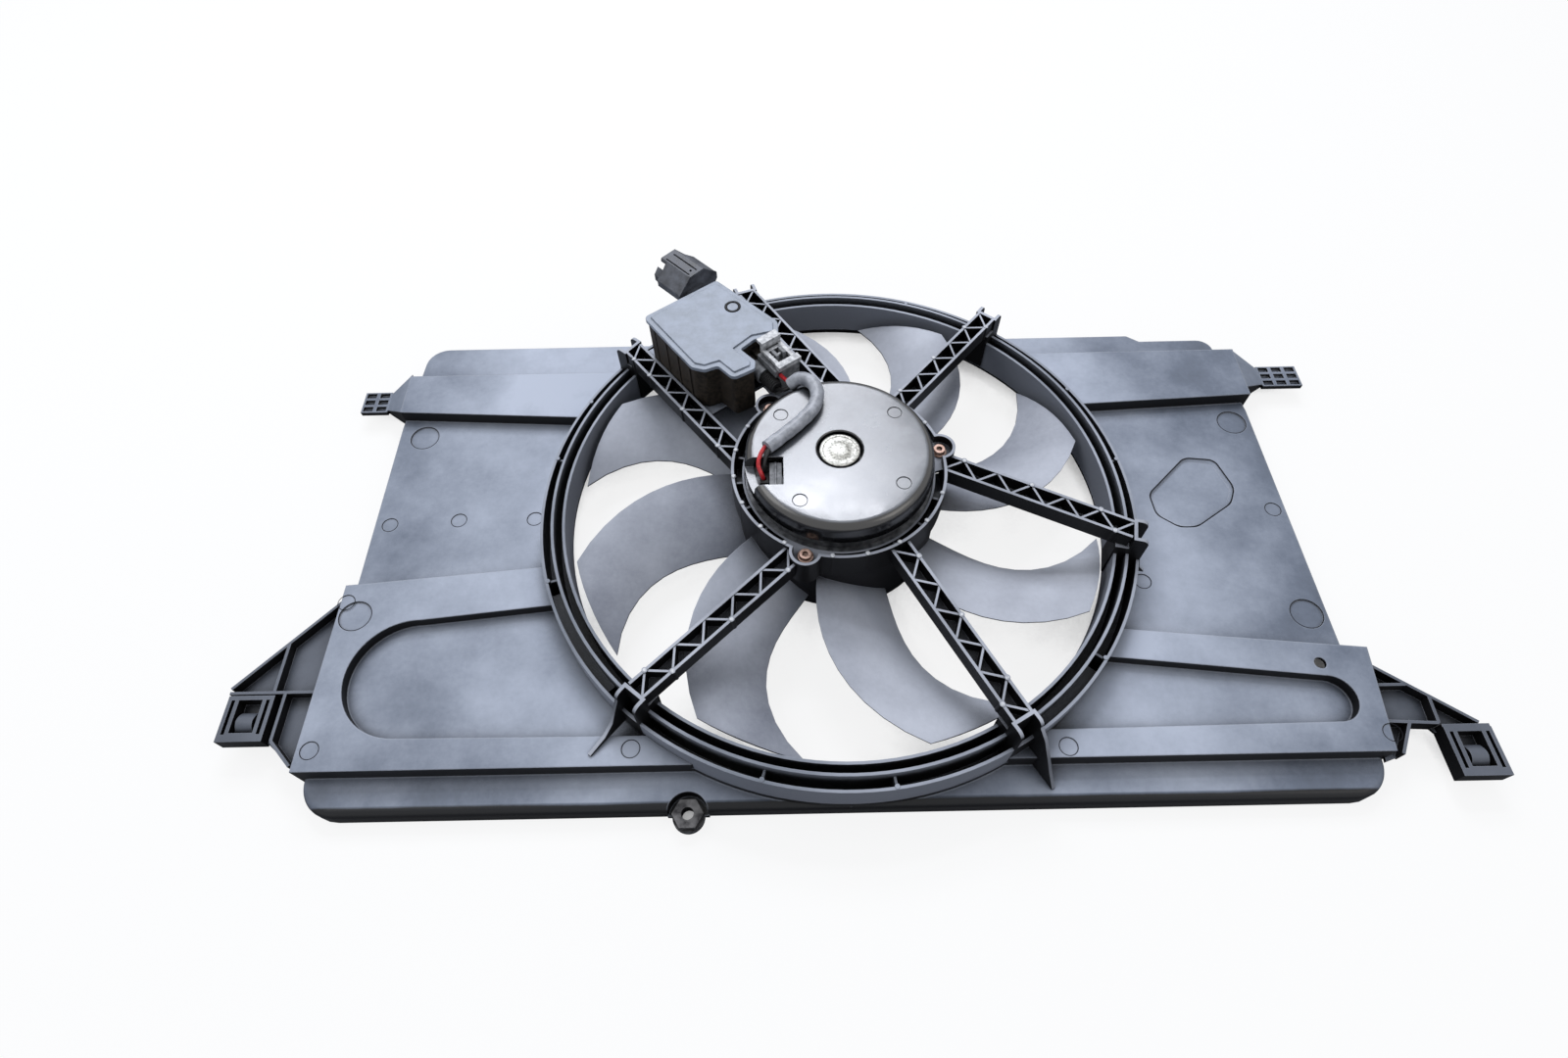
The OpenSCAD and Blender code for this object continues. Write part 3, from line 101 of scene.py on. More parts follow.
def add(tree, kind, settings=None, **inputs):
    """Adds a node. Settings are its properties; inputs are values or sockets to link."""
    node = tree.nodes.new(kind)
    for name, value in (settings or {}).items():
        setattr(node, name, value)
    for name, value in inputs.items():
        name = name.replace("_", " ")
        numbered = name[0] == "i" and name[1:].isdigit()
        socket = node.inputs[int(name[1:])] if numbered else node.inputs[name]
        if isinstance(value, bpy.types.NodeSocket):
            tree.links.new(value, socket)
        else:
            socket.default_value = value
    return node


def new_material(name):
    """An empty material with its shader and output, and Object coordinates to draw patterns on."""
    material = bpy.data.materials.new(name)
    material.use_nodes = True
    tree = material.node_tree
    tree.nodes.clear()
    shader = add(tree, "ShaderNodeBsdfPrincipled")
    add(tree, "ShaderNodeOutputMaterial", Surface=shader.outputs["BSDF"])
    where = add(tree, "ShaderNodeTexCoord").outputs["Object"]
    return material, tree, shader, where


def ramp(tree, factor, stops):
    """A colour ramp through (position, hex colour) stops."""
    node = add(tree, "ShaderNodeValToRGB", Fac=factor)
    while len(node.color_ramp.elements) < len(stops):
        node.color_ramp.elements.new(0.5)
    for element, (position, colour) in zip(node.color_ramp.elements, stops):
        element.position = position
        element.color = srgb(colour)
    return node.outputs["Color"]


print("dark nylon in linear light:", [round(v, 4) for v in srgb("#26282d")[:3]])

# %% [markdown]
# ## The shroud's nylon
#
# The shroud is injection-moulded nylon, filled with short glass fibres and coloured black. Every open
# surface that faces up is painted grey-blue, as the sheen of a bright sky, and dust lies on it, while
# the walls keep the nylon's black and sheltered places are painted black as shade. So the colour
# follows four things: which way the surface faces and how sheltered it is (painted sheen and shade),
# how high it stands (painted light), and a cloudy pattern for the uneven bleaching. Moulded corners are
# never sharp, so the Bevel node rounds them in the shading, by 1.6 mm on the panel and by about half a
# millimetre elsewhere. Where its normal leaves the true one there is an edge, and on its upper side a
# pale highlight is painted. Over the whole shroud the painted light fades outwards from the ring, and
# the near lip, which turns down to the ground in front, is painted almost black as shade. A short list
# of such slopes says where.

# %% Glass-filled nylon
DUSTY_BLACK = "#1d1e21"  # the darkest tone of a surface that faces up
TONE_AND_LIGHT_RANGE = (0.1, 1.34)  # sum of the clouds and of the painted light slopes, from darkest to palest top
BAND_RISE = (13, 27)  # heights between which the raised bands are painted lighter
EDGE_HIGHLIGHT_SHARE = 0.55  # how far a painted highlight on an edge goes towards its pale tone
NYLON_IOR = 1.53


def weathered_nylon_painted_light(name, grey, pale, black, rough, edge=0.5, cloud=60, shade_reach=0.018, height_light=0.0,
                    highlight_tone="#b9bec8", lit_wall=None, sheen_facing=(0.12, 0.8), slopes=()):
    """Moulded nylon: black, with painted sheen where it faces up and painted shade where sheltered.
    Sizes in millimetres.

    Slopes are (axis, from, to, painted light at from, painted light at to) in millimetres, along Y or Z,
    along X the same to both sides of the middle, or along R, which is X towards the right alone.
    """
    material, tree, shader, where = new_material(name)
    soft = add(tree, "ShaderNodeBevel", {"samples": 4}, Radius=edge * MM)
    facing = add(tree, "ShaderNodeSeparateXYZ", Vector=soft.outputs["Normal"]).outputs["Z"]
    # painted sheen: the more a surface faces up, the more of the sky's sheen is painted on it
    sheen_on_top = add(tree, "ShaderNodeMapRange", {"interpolation_type": "SMOOTHSTEP"}, Value=facing,
             From_Min=sheen_facing[0], From_Max=sheen_facing[1])
    # clouds of uneven bleaching, wide and narrow, and small mottling of dust
    wide = add(tree, "ShaderNodeTexNoise", Vector=where, Scale=1000 / (3 * cloud), Detail=2.0,
               Roughness=0.5)
    clouds = add(tree, "ShaderNodeTexNoise", Vector=where, Scale=1000 / cloud, Detail=5.0, Roughness=0.5)
    mottle = add(tree, "ShaderNodeTexNoise", Vector=where, Scale=1000 / 4, Detail=6.0, Roughness=0.7)
    both = add(tree, "ShaderNodeMath", {"operation": "MULTIPLY_ADD"}, i0=mottle.outputs["Fac"], i1=0.22,
               i2=clouds.outputs["Fac"])
    both = add(tree, "ShaderNodeMath", {"operation": "MULTIPLY_ADD"}, i0=wide.outputs["Fac"], i1=0.9,
               i2=both.outputs[0])
    axes = add(tree, "ShaderNodeSeparateXYZ", Vector=where)
    from_middle = add(tree, "ShaderNodeMath", {"operation": "ABSOLUTE"}, i0=axes.outputs["X"]).outputs[0]
    # painted light and shade: the bands' rise in height and the slopes shift the tone of the tops
    for axis, start, end, at_start, at_end in (("Z", *BAND_RISE, 0.0, height_light),) + slopes:
        place = from_middle if axis == "X" else axes.outputs["X" if axis == "R" else axis]
        slope = add(tree, "ShaderNodeMapRange", Value=place, From_Min=start * MM, From_Max=end * MM,
                    To_Min=at_start, To_Max=at_end)
        both = add(tree, "ShaderNodeMath", {"operation": "ADD"}, i0=both.outputs[0], i1=slope.outputs[0])
    bleach_and_light = add(tree, "ShaderNodeMapRange", Value=both.outputs[0], From_Min=TONE_AND_LIGHT_RANGE[0],
                 From_Max=TONE_AND_LIGHT_RANGE[1])
    tops_tone_and_light = ramp(tree, bleach_and_light.outputs[0], [(0.0, DUSTY_BLACK), (0.5, grey), (1.0, pale)])
    # open surfaces that face up get the painted sheen, sheltered ones are painted black as shade
    ao_shade = add(tree, "ShaderNodeAmbientOcclusion", {"samples": 6}, Distance=shade_reach)
    unshaded_part = add(tree, "ShaderNodeMapRange", Value=ao_shade.outputs["AO"], From_Min=0.3, From_Max=0.8)
    lit_top_amount = add(tree, "ShaderNodeMath", {"operation": "MULTIPLY"}, i0=sheen_on_top.outputs[0],
                 i1=unshaded_part.outputs[0])
    # walls: painted shade (black) where sheltered, and a lit wall tone where open
    shaded_walls = add(tree, "ShaderNodeMix", {"data_type": "RGBA"}, Factor=unshaded_part.outputs[0],
                i6=srgb(black), i7=srgb(lit_wall or black))
    colour = add(tree, "ShaderNodeMix", {"data_type": "RGBA"}, Factor=lit_top_amount.outputs[0],
                 i6=shaded_walls.outputs[2], i7=tops_tone_and_light)
    # painted highlight on edges: where the rounded normal leaves the true one, on the side that faces up
    true_normal = add(tree, "ShaderNodeNewGeometry").outputs["Normal"]
    same = add(tree, "ShaderNodeVectorMath", {"operation": "DOT_PRODUCT"}, i0=soft.outputs["Normal"],
               i1=true_normal).outputs["Value"]
    edge_amount = add(tree, "ShaderNodeMapRange", Value=same, From_Min=0.995, From_Max=0.9)
    lit_side = add(tree, "ShaderNodeMapRange", Value=facing, From_Min=0.3, From_Max=0.7)
    edge_highlight_amount = add(tree, "ShaderNodeMath", {"operation": "MULTIPLY"}, i0=edge_amount.outputs[0],
                 i1=lit_side.outputs[0])
    edge_highlight_amount = add(tree, "ShaderNodeMath", {"operation": "MULTIPLY"}, i0=edge_highlight_amount.outputs[0],
                 i1=EDGE_HIGHLIGHT_SHARE)
    colour = add(tree, "ShaderNodeMix", {"data_type": "RGBA"}, Factor=edge_highlight_amount.outputs[0],
                 i6=colour.outputs[2], i7=srgb(highlight_tone))
    tree.links.new(colour.outputs[2], shader.inputs["Base Color"])
    # the skin of the mould: fine grain, and glass fibres that show as short streaks
    grain = add(tree, "ShaderNodeTexNoise", Vector=where, Scale=1000 / 1.2, Detail=3.0, Roughness=0.6)
    shine = add(tree, "ShaderNodeMapRange", Value=both.outputs[0], From_Min=0.6, From_Max=1.4,
                To_Min=rough - 0.06, To_Max=rough + 0.12)
    tree.links.new(shine.outputs[0], shader.inputs["Roughness"])
    bump = add(tree, "ShaderNodeBump", Strength=0.25, Distance=0.1 * MM, Height=grain.outputs["Fac"],
               Normal=soft.outputs["Normal"])
    tree.links.new(bump.outputs["Normal"], shader.inputs["Normal"])
    shader.inputs["IOR"].default_value = NYLON_IOR
    shader.inputs["Specular IOR Level"].default_value = 0.22
    return material


# painted light: lighter with height, fading to the outer ends and the right, darker on the band's front,
# and the near lip painted almost black as shade
shroud_nylon = weathered_nylon_painted_light(
    "nylon_glass_filled_painted_light", "#6e7684", "#b6bdcb", "#0d0d0f", 0.42, edge=1.6, height_light=0.06,
    slopes=(("X", 205, 365, 0.2, -0.24), ("R", 120, 220, 0.0, -0.15), ("Y", -200, -160, -0.12, 0.0),
            ("Y", -206, -200, -0.1, 0.0), ("Y", -216, -212.5, -1.5, 0.0)))
arm_nylon = weathered_nylon_painted_light("nylon_glass_filled_arms", "#474c55", "#6f747e", "#0b0b0d", 0.42)
# the ring's open walls are painted a lighter lit grey, its sheltered walls black as shade
ring_nylon = weathered_nylon_painted_light("nylon_glass_filled_ring", "#6e747e", "#a9aeb9", "#0b0b0d", 0.40,
                             lit_wall="#858993")
strut_nylon = weathered_nylon_painted_light("nylon_glass_filled_struts", "#7d818a", "#bcc0ca", "#08080a", 0.40,
                              edge=0.4, cloud=40, shade_reach=0.010, highlight_tone="#d3d6dc")
fan_nylon = weathered_nylon_painted_light("nylon_fan_blades_satin", "#7a7e89", "#c2c6d0", "#141417", 0.42,
                            edge=0.6, cloud=70, shade_reach=0.03)
print("materials so far:", [m.name for m in bpy.data.materials])

# %% [markdown]
# ## The other finishes
#
# The rest of the fan is a mix of ordinary engineering materials. Each starts from the common values
# of its kind: metals are fully metallic and differ by colour and roughness, plastics by roughness
# and grain. One function serves them all, because they differ only in numbers. Within a shade reach,
# each finish is painted darker in its corners as shade, which is what makes small black and grey parts
# readable.

# %% One function for plain moulded, cast, turned and drawn finishes
# the colour of the painted shade in corners
CORNER_SHADE = "#0c0c0d"
PLASTIC_IOR = 1.5


def finish(name, dark, light, rough, metallic=0.0, spot=8, grain=0.8, depth=0.05, edge=0.3,
           specular=0.5, shade_reach=4):
    """A surface with blotches of spot millimetres, a grain of grain millimetres and painted shade in
    corners.
    """
    material, tree, shader, where = new_material(name)
    blotch = add(tree, "ShaderNodeTexNoise", Vector=where, Scale=1000 / spot, Detail=6.0, Roughness=0.6)
    clean = ramp(tree, blotch.outputs["Fac"], [(0.35, dark), (0.65, light)])
    # painted shade: darker in the corners, within the shade reach
    ao_shade = add(tree, "ShaderNodeAmbientOcclusion", {"samples": 6}, Distance=shade_reach * MM)
    unshaded_part = add(tree, "ShaderNodeMapRange", Value=ao_shade.outputs["AO"], From_Min=0.2,
                    From_Max=0.75)
    colour = add(tree, "ShaderNodeMix", {"data_type": "RGBA"}, Factor=unshaded_part.outputs[0],
                 i6=srgb(CORNER_SHADE), i7=clean)
    tree.links.new(colour.outputs[2], shader.inputs["Base Color"])
    shine = add(tree, "ShaderNodeMapRange", Value=blotch.outputs["Fac"], From_Min=0.3, From_Max=0.7,
                To_Min=rough * 0.8, To_Max=min(rough * 1.3, 1.0))
    tree.links.new(shine.outputs[0], shader.inputs["Roughness"])
    soft = add(tree, "ShaderNodeBevel", {"samples": 4}, Radius=edge * MM)
    fine = add(tree, "ShaderNodeTexNoise", Vector=where, Scale=1000 / grain, Detail=4.0)
    bump = add(tree, "ShaderNodeBump", Strength=0.4, Distance=depth * MM, Height=fine.outputs["Fac"],
               Normal=soft.outputs["Normal"])
    tree.links.new(bump.outputs["Normal"], shader.inputs["Normal"])
    shader.inputs["Metallic"].default_value = metallic
    if metallic == 0:
        shader.inputs["IOR"].default_value = PLASTIC_IOR
        shader.inputs["Specular IOR Level"].default_value = specular
    return material


FINISHES = {
    "dark_steel": finish("steel_black_oxide", "#2c2c2e", "#626264", 0.4, 1.0),
    "zinc_steel": finish("steel_zinc_plated", "#5c5e62", "#8e9094", 0.42, 1.0, spot=5),
    "bearing_steel": finish("steel_ground_bearing", "#a4a6a9", "#c4c6c8", 0.2, 1.0, grain=0.4,
                            depth=0.01),
    "sintered_bronze": finish("bronze_sintered", "#6d4f2c", "#a07a48", 0.55, 1.0, grain=0.3),
    "brass": finish("brass_rolled", "#a8873f", "#cdae62", 0.3, 1.0),
    "ferrite": finish("ferrite_ground", "#26272a", "#3a3b3f", 0.6),
    "silicon_steel": finish("silicon_steel_stacked", "#5c5e62", "#83868b", 0.45, 1.0, grain=0.5),
    "copper": finish("copper_enamelled_wire", "#7c3c1b", "#b5683a", 0.3, 1.0, grain=0.9, depth=0.15),
    "phenolic": finish("phenolic_paper_board", "#4a3420", "#6b4e31", 0.6),
    "carbon": finish("carbon_brush_block", "#161617", "#27272a", 0.7),
    "cast_aluminium": finish("aluminium_die_cast", "#6a6a66", "#c9c9c4", 0.40, 1.0, spot=1.6, grain=1.1,
                             depth=0.5),
    "copper_plated_steel": finish("steel_copper_coated_screw", "#8f7468", "#cbb0a5", 0.5, 1.0, spot=3),
    "black_rubber": finish("rubber_moulded_black", "#111112", "#232325", 0.65, specular=0.3),
    "tinned_steel": finish("steel_tinned_sheet", "#808286", "#c6c8cb", 0.32, 1.0, spot=4),
    "module_plastic": finish("pbt_black_brown_housing", "#151310", "#3b342d", 0.55, spot=2.5, depth=0.2,
                             specular=0.25),
    "board": finish("fibreglass_circuit_board", "#123a1f", "#1f5a31", 0.4),
    "component_black": finish("epoxy_moulded_component", "#101011", "#1e1e20", 0.5),
    "capacitor_sleeve": finish("pvc_sleeve_blue", "#141a3a", "#202a58", 0.3),
    "tinned_copper": finish("copper_tinned_terminal", "#a9a391", "#d6d1c0", 0.28, 1.0),
    "connector_plastic": finish("pbt_black_connector", "#34363b", "#5f626a", 0.42, spot=9, depth=0.08,
                                specular=0.4),
    "plug_plastic": finish("pbt_grey_plug", "#55575b", "#8f9194", 0.45, spot=3, specular=0.3),
    "latch_plastic": finish("nylon_natural_latch", "#7e8084", "#e0e1e2", 0.38, spot=4, shade_reach=6),
    "sheath_plastic": finish("polyolefin_heat_shrunk_sheath", "#7a7d84", "#b0b3ba", 0.36, spot=7,
                             grain=1.6, depth=0.25, shade_reach=9),
    "red_insulation": finish("pvc_insulation_red", "#a3131a", "#d8323a", 0.3, spot=3),
    "black_insulation": finish("pvc_insulation_black", "#101011", "#1d1d1f", 0.35, spot=3),
    "lid_plastic": finish("pbt_blue_grey_lid", "#79828f", "#9ea6b4", 0.42, spot=11, depth=0.05, edge=0.8,
                          shade_reach=2.5),
    "glass_filled_nylon": shroud_nylon,
    "fan_nylon": fan_nylon,
}
# only the cover's flat top gets the painted sheen; its rounded shoulder is painted dark as shade
cover_nylon = weathered_nylon_painted_light("nylon_smooth_motor_cover", "#4a4d54", "#7b7f86", "#0b0b0d", 0.20,
                              edge=0.7, cloud=30, shade_reach=0.010, sheen_facing=(0.94, 1.0))
cover_nylon.node_tree.nodes["Principled BSDF"].inputs["Specular IOR Level"].default_value = 0.9
FINISHES["cover_nylon"] = cover_nylon
# a dark line, painted as shade in creases and corners
painted_shade_line = finish("nylon_painted_shade_line", "#17171a", "#26272b", 0.8, specular=0.1)
sprue_stub = finish("nylon_torn_sprue", "#a8abb1", "#e9eaec", 0.5, spot=1.5, depth=0.2)
print("finishes:", len(FINISHES) + 2)

# %% [markdown]
# ## Every solid gets its finish
#
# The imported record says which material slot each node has, so the finishes can be handed out in one
# loop. A solid comes in as loose triangles with flat shading, which would show facets on the ring. A
# piece that stands for it is therefore made from a copy: its doubled corners are merged, its curved
# walls are shaded smooth, and its edges over 30 degrees are kept sharp. The copy also forgets the
# stored normals of the loose triangles, which no longer fit once corners are merged. The Weighted
# Normal modifier then lets the large flat faces decide the shading at their rims. On the small parts
# a live Bevel rounds the real edges too, which is how a moulded part catches the light.

# %% Copies with welded corners and smooth walls
SLOT_OF = {row["node"]: row["material_slot"] for row in frame["record"]["subparts"]}
BODY_OF = {name: body for body, members in frame["record"]["behaviour"]["bodies"].items()
           for name in members}


def dress(obj, material):
    obj.data.materials.clear()
    obj.data.materials.append(material)


def settle(obj, body, *replaced, slot=None):
    """Puts a finished piece on its body, in place of the solids that it stands for."""
    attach(obj, body)
    if replaced:
        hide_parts(*replaced)
    return obj


WELD = 0.002  # corners this close, in millimetres, become one


def smooth_copy(node, rounding=0.0):
    """A welded, smoothly shaded piece with the shape of a solid, its edges rounded by millimetres."""
    mesh = bpy.data.meshes.new(node + "_surface")
    bm = bmesh.new()
    bm.from_mesh(nodes[node].data)
    bmesh.ops.remove_doubles(bm, verts=bm.verts, dist=WELD * MM)
    bmesh.ops.dissolve_degenerate(bm, edges=bm.edges, dist=0.001 * MM)
    if rounding:
        bmesh.ops.dissolve_limit(bm, angle_limit=math.radians(0.5), verts=bm.verts, edges=bm.edges)
    bm.to_mesh(mesh)
    bm.free()
    if "custom_normal" in mesh.attributes:
        mesh.attributes.remove(mesh.attributes["custom_normal"])
    mesh.shade_smooth()
    mesh.set_sharp_from_angle(angle=math.radians(30))
    piece = bpy.data.objects.new(node + "_surface", mesh)
    bpy.context.scene.collection.objects.link(piece)
    if rounding:
        bevel = piece.modifiers.new("moulded_edges", "BEVEL")
        bevel.width, bevel.segments, bevel.angle_limit = rounding * MM, 2, math.radians(40)
        bevel.miter_outer = "MITER_ARC"
    piece.modifiers.new("flat_faces_lead", "WEIGHTED_NORMAL").keep_sharp = True
    return settle(piece, BODY_OF[node], node)


for name, obj in nodes.items():
    dress(obj, FINISHES[SLOT_OF[name]])

SMOOTH = ["left_panel", "right_panel", "left_arm", "right_arm", "left_tab", "right_tab", "fan_ring",
          "motor_carrier", "lattice_struts", "strut_towers", "fan", "motor_can", "lead_grommet",
          "motor_shaft", "fan_hub_insert", "fan_clip", "front_end_plate", "supply_pins", "motor_cover"]
ROUNDED = {"module_tray": 0.4, "supply_connector": 0.5, "lip_nut": 0.5, "motor_screws": 0.4,
           "lead_clip": 0.3, "module_housing": 0.5, "module_lid": 0.45, "vent_cap": 0.25,
           "motor_plug": 0.4, "plug_latch": 0.4, "heat_sink": 0.3}
surfaces = {}
for name in SMOOTH + list(ROUNDED):
    surfaces[name] = smooth_copy(name, rounding=ROUNDED.get(name, 0.0))
    dress(surfaces[name], FINISHES[SLOT_OF[name]])
for name in ("motor_carrier", "lattice_struts", "strut_towers"):
    dress(surfaces[name], strut_nylon)
for name in ("left_arm", "right_arm"):
    dress(surfaces[name], arm_nylon)
dress(surfaces["fan_ring"], ring_nylon)
dress(surfaces["vent_cap"], FINISHES["black_rubber"])
dress(surfaces["lead_clip"], FINISHES["plug_plastic"])

# the pocket beside the ring has a sloping wall and lies a little deeper than in the solid
POCKET = Vector((281, 18, 0)) * MM
POCKET_BOX = ((240, 322), (-20, 60), (12.5, 13.9))
POCKET_SHRINK, POCKET_SINK = 0.91, 0.9
for vert in surfaces["right_panel"].data.vertices:
    if all(low < v < high for v, (low, high) in zip(vert.co / MM, POCKET_BOX)):
        vert.co.xy = POCKET.xy + (vert.co.xy - POCKET.xy) * POCKET_SHRINK
        vert.co.z -= POCKET_SINK * MM
print("smooth surfaces:", len(surfaces))

# %% [markdown]
# ## From millimetres to a piece
#
# New pieces are drawn in millimetres, each in the handiest position, and one function turns a
# finished bmesh into a piece: it moves the shape to its place, closes doubled corners, points the
# faces outwards and scales the whole to metres, so that the object itself stays at the origin.

# %% One function that finishes a bmesh
def make_piece(name, bm, material, slot, replaced=(), place=None, sharp=35):
    """Moves a bmesh in millimetres to its place and makes it a piece in metres."""
    if place is not None:
        bmesh.ops.transform(bm, matrix=place, verts=bm.verts)
    bmesh.ops.remove_doubles(bm, verts=bm.verts, dist=WELD)
    bmesh.ops.recalc_face_normals(bm, faces=bm.faces)
    bmesh.ops.scale(bm, vec=(MM, MM, MM), verts=bm.verts)
    mesh = bpy.data.meshes.new(name)
    bm.to_mesh(mesh)
    bm.free()
    mesh.shade_smooth()
    mesh.set_sharp_from_angle(angle=math.radians(sharp))
    piece = bpy.data.objects.new(name, mesh)
    bpy.context.scene.collection.objects.link(piece)
    dress(piece, material)
    print(name, "faces:", len(mesh.polygons))
    settle(piece, "shroud", *replaced, slot=slot)


def turned(bm, profile):
    """Spins a profile of (radius, height) points about the vertical, as on a lathe."""
    rim = [bm.verts.new((r, 0, z)) for r, z in profile]
    edges = [bm.edges.new(pair) for pair in zip(rim, rim[1:])]
    bmesh.ops.spin(bm, geom=rim + edges, cent=(0, 0, 0), axis=(0, 0, 1), angle=math.tau, steps=72,
                   use_merge=True)


# %% [markdown]
# ## Marks of the mould
#
# Ejector pins push a moulding out of its mould, and each leaves a faint round mark with a fine crease
# round it. The solids have the sunk discs. The crease's shade is painted as a hair-thin dark ring laid
# along each edge: a small circle, spun about the mark's middle.

# %% Creases round the ejector marks
PANEL_TOP, BAND_TOP, COVER_TOP = 14, 28, 102
LARGE_MARK, SMALL_MARK, COVER_MARK = 11.5, 6.0, 5.0
COVER_CIRCLE, CREASE = 51, 0.24
LARGE_ON_PANEL = ((-336, 89), (332, 88), (333, -89))
SMALL_ON_PANEL = ((-345, 3), (-233, 6), (-292, 6), (-201, -115), (338, 1), (223, -60))
SMALL_ON_BAND = ((-353, -72), (-349, -180), (-141, -183), (140, -187), (349, -182))
ON_COVER = [(COVER_CIRCLE * math.cos(math.radians(a)), COVER_CIRCLE * math.sin(math.radians(a)))
            for a in (38, 142, 236, 324)]
MARKS = ([((x, y, PANEL_TOP), LARGE_MARK) for x, y in LARGE_ON_PANEL]
         + [((x, y, PANEL_TOP), SMALL_MARK) for x, y in SMALL_ON_PANEL]
         + [((x, y, BAND_TOP), SMALL_MARK) for x, y in SMALL_ON_BAND]
         + [((-344, -83, BAND_TOP), LARGE_MARK)]
         + [((x, y, COVER_TOP), COVER_MARK) for x, y in ON_COVER])
bm = bmesh.new()
for (x, y, z), radius in MARKS:
    line = Matrix.Translation((x + radius, y, z)) @ Matrix.Rotation(math.pi / 2, 4, "X")
    hair = bmesh.ops.create_circle(bm, cap_ends=False, segments=6, radius=CREASE, matrix=line)["verts"]
    edges = list({edge for vert in hair for edge in vert.link_edges})
    bmesh.ops.spin(bm, geom=hair + edges, cent=(x, y, z), axis=(0, 0, 1), angle=math.tau,
                   steps=40, use_merge=True)
make_piece("ejector_mark_crease_shade", bm, painted_shade_line, "glass_filled_nylon", sharp=180)

# %% [markdown]
# ## The painted shade round the pocket
#
# Shade is painted as a dark band in the corner round the pocket beside the ring. A face with the
# pocket's outline gets its corners rounded and is inset, and the narrow band between the two outlines is
# that painted shade.

# %% A band round the pocket
OUTLINE = ((283, 53), (246, 18), (247, -2), (262, -14), (276, -14), (308, 7), (315, 22), (307, 50))
# the band of painted shade: its height and width
SHADE_BAND_HEIGHT, SHADE_BAND_WIDTH, CORNER_ROUNDING = 14.05, 1.0, 5
bm = bmesh.new()
bm.faces.new([bm.verts.new((x, y, SHADE_BAND_HEIGHT)) for x, y in OUTLINE])
bmesh.ops.bevel(bm, geom=list(bm.verts), offset=CORNER_ROUNDING, segments=5, profile=0.5,
                affect="VERTICES")
band = bmesh.ops.inset_individual(bm, faces=list(bm.faces), thickness=SHADE_BAND_WIDTH)["faces"]
print("seam band faces:", len(band), "of", len(bm.faces))
bmesh.ops.delete(bm, geom=[face for face in bm.faces if len(face.verts) > 4], context="FACES_ONLY")
make_piece("pocket_painted_shade", bm, painted_shade_line, "glass_filled_nylon")

# %% [markdown]
# ## Stubs on the struts
#
# Where the lattice ribs meet, small round stubs stand a little over the ribs. Their torn tops are
# nearly white, and they sparkle all over the struts in the picture. Their places follow from the
# lattice: every fourth crossing and the last one of each strut, plus one at each rib of the carrier.

# %% Pale caps on the stubs
CARRIER_R, MIDDLE_WALL_R = 76, 207.8
STRUT_HIGH, STRUT_LOW, STRUT_CELL, RIB_MIDDLE = 80, 67, 12, 6.5
CARRIER_STUBS = (30, 50, 70, 90, 110, 150, 168, 186, 204, 222, 238, 264, 282, 300, 320, 340)
CARRIER_STUB_R, CARRIER_STUB_TOP = CARRIER_R - 1.5, 83.3
CAP_FOOT, CAP_HEAD, CAP_DEPTH, CAP_LIFT = 1.55, 1.1, 0.5, 0.3
STRUTS = ((51.2, 51.3), (2.9, -13.4), (-59.9, -60.2), (-115.3, -130), (166.8, 139.6), (88.6, 108.9))


def polar(radius, degrees):
    angle = math.radians(degrees)
    return Vector((radius * math.cos(angle), radius * math.sin(angle), 0))


stub_tops = []
for at_motor, at_ring in STRUTS:
    start = polar(CARRIER_R, at_motor) + Vector((0, 0, STRUT_HIGH))
    end = polar(MIDDLE_WALL_R, at_ring) + Vector((0, 0, STRUT_LOW))
    along = end - start
    across = Vector((-along.y, along.x, 0)).normalized()
    cells = round(along.length / STRUT_CELL)
    for i in range(1, cells):
        if i % 4 == 1 or i == cells - 1:
            side = -1 if i % 2 == 0 else 1
            stub_tops.append(start + along * (i / cells) + across * (side * RIB_MIDDLE))
for degrees in CARRIER_STUBS:
    stub_tops.append(polar(CARRIER_STUB_R, degrees) + Vector((0, 0, CARRIER_STUB_TOP)))
bm = bmesh.new()
for top in stub_tops:
    bmesh.ops.create_cone(bm, cap_ends=True, segments=16, radius1=CAP_FOOT, radius2=CAP_HEAD,
                          depth=CAP_DEPTH, matrix=Matrix.Translation(top + Vector((0, 0, CAP_LIFT))))
make_piece("stub_caps", bm, sprue_stub, "glass_filled_nylon")

# %% [markdown]
# ## The motor's bearing boss
#
# Through the round hole in the motor's cover one looks at the end of the motor, where the cast boss
# closes the shaft's bush. It is a bright, rough disc with a rim and a low mound in the middle, so it
# is turned from a profile like a coin.

# %% Turn the boss's end
BOSS = ((0, 100.0), (13.8, 100.0), (13.8, 100.5), (12.9, 100.9), (11.9, 100.9), (11.3, 100.4),
        (7.5, 100.4), (6.6, 100.9), (4.0, 101.3), (2.0, 101.4), (0, 101.4))
bm = bmesh.new()
turned(bm, BOSS)
make_piece("boss_end_disc", bm, FINISHES["cast_aluminium"], "cast_aluminium")

# %% [markdown]
# ## The lead
#
# Two wires, red and black, leave the motor plug and run over the cover in a heat-shrunk sheath. The
# sheath is stiff and swells a little where it bends. Curves with a round section make it: the path
# goes smoothly through the route's points, and each point's radius breathes by a few per cent.

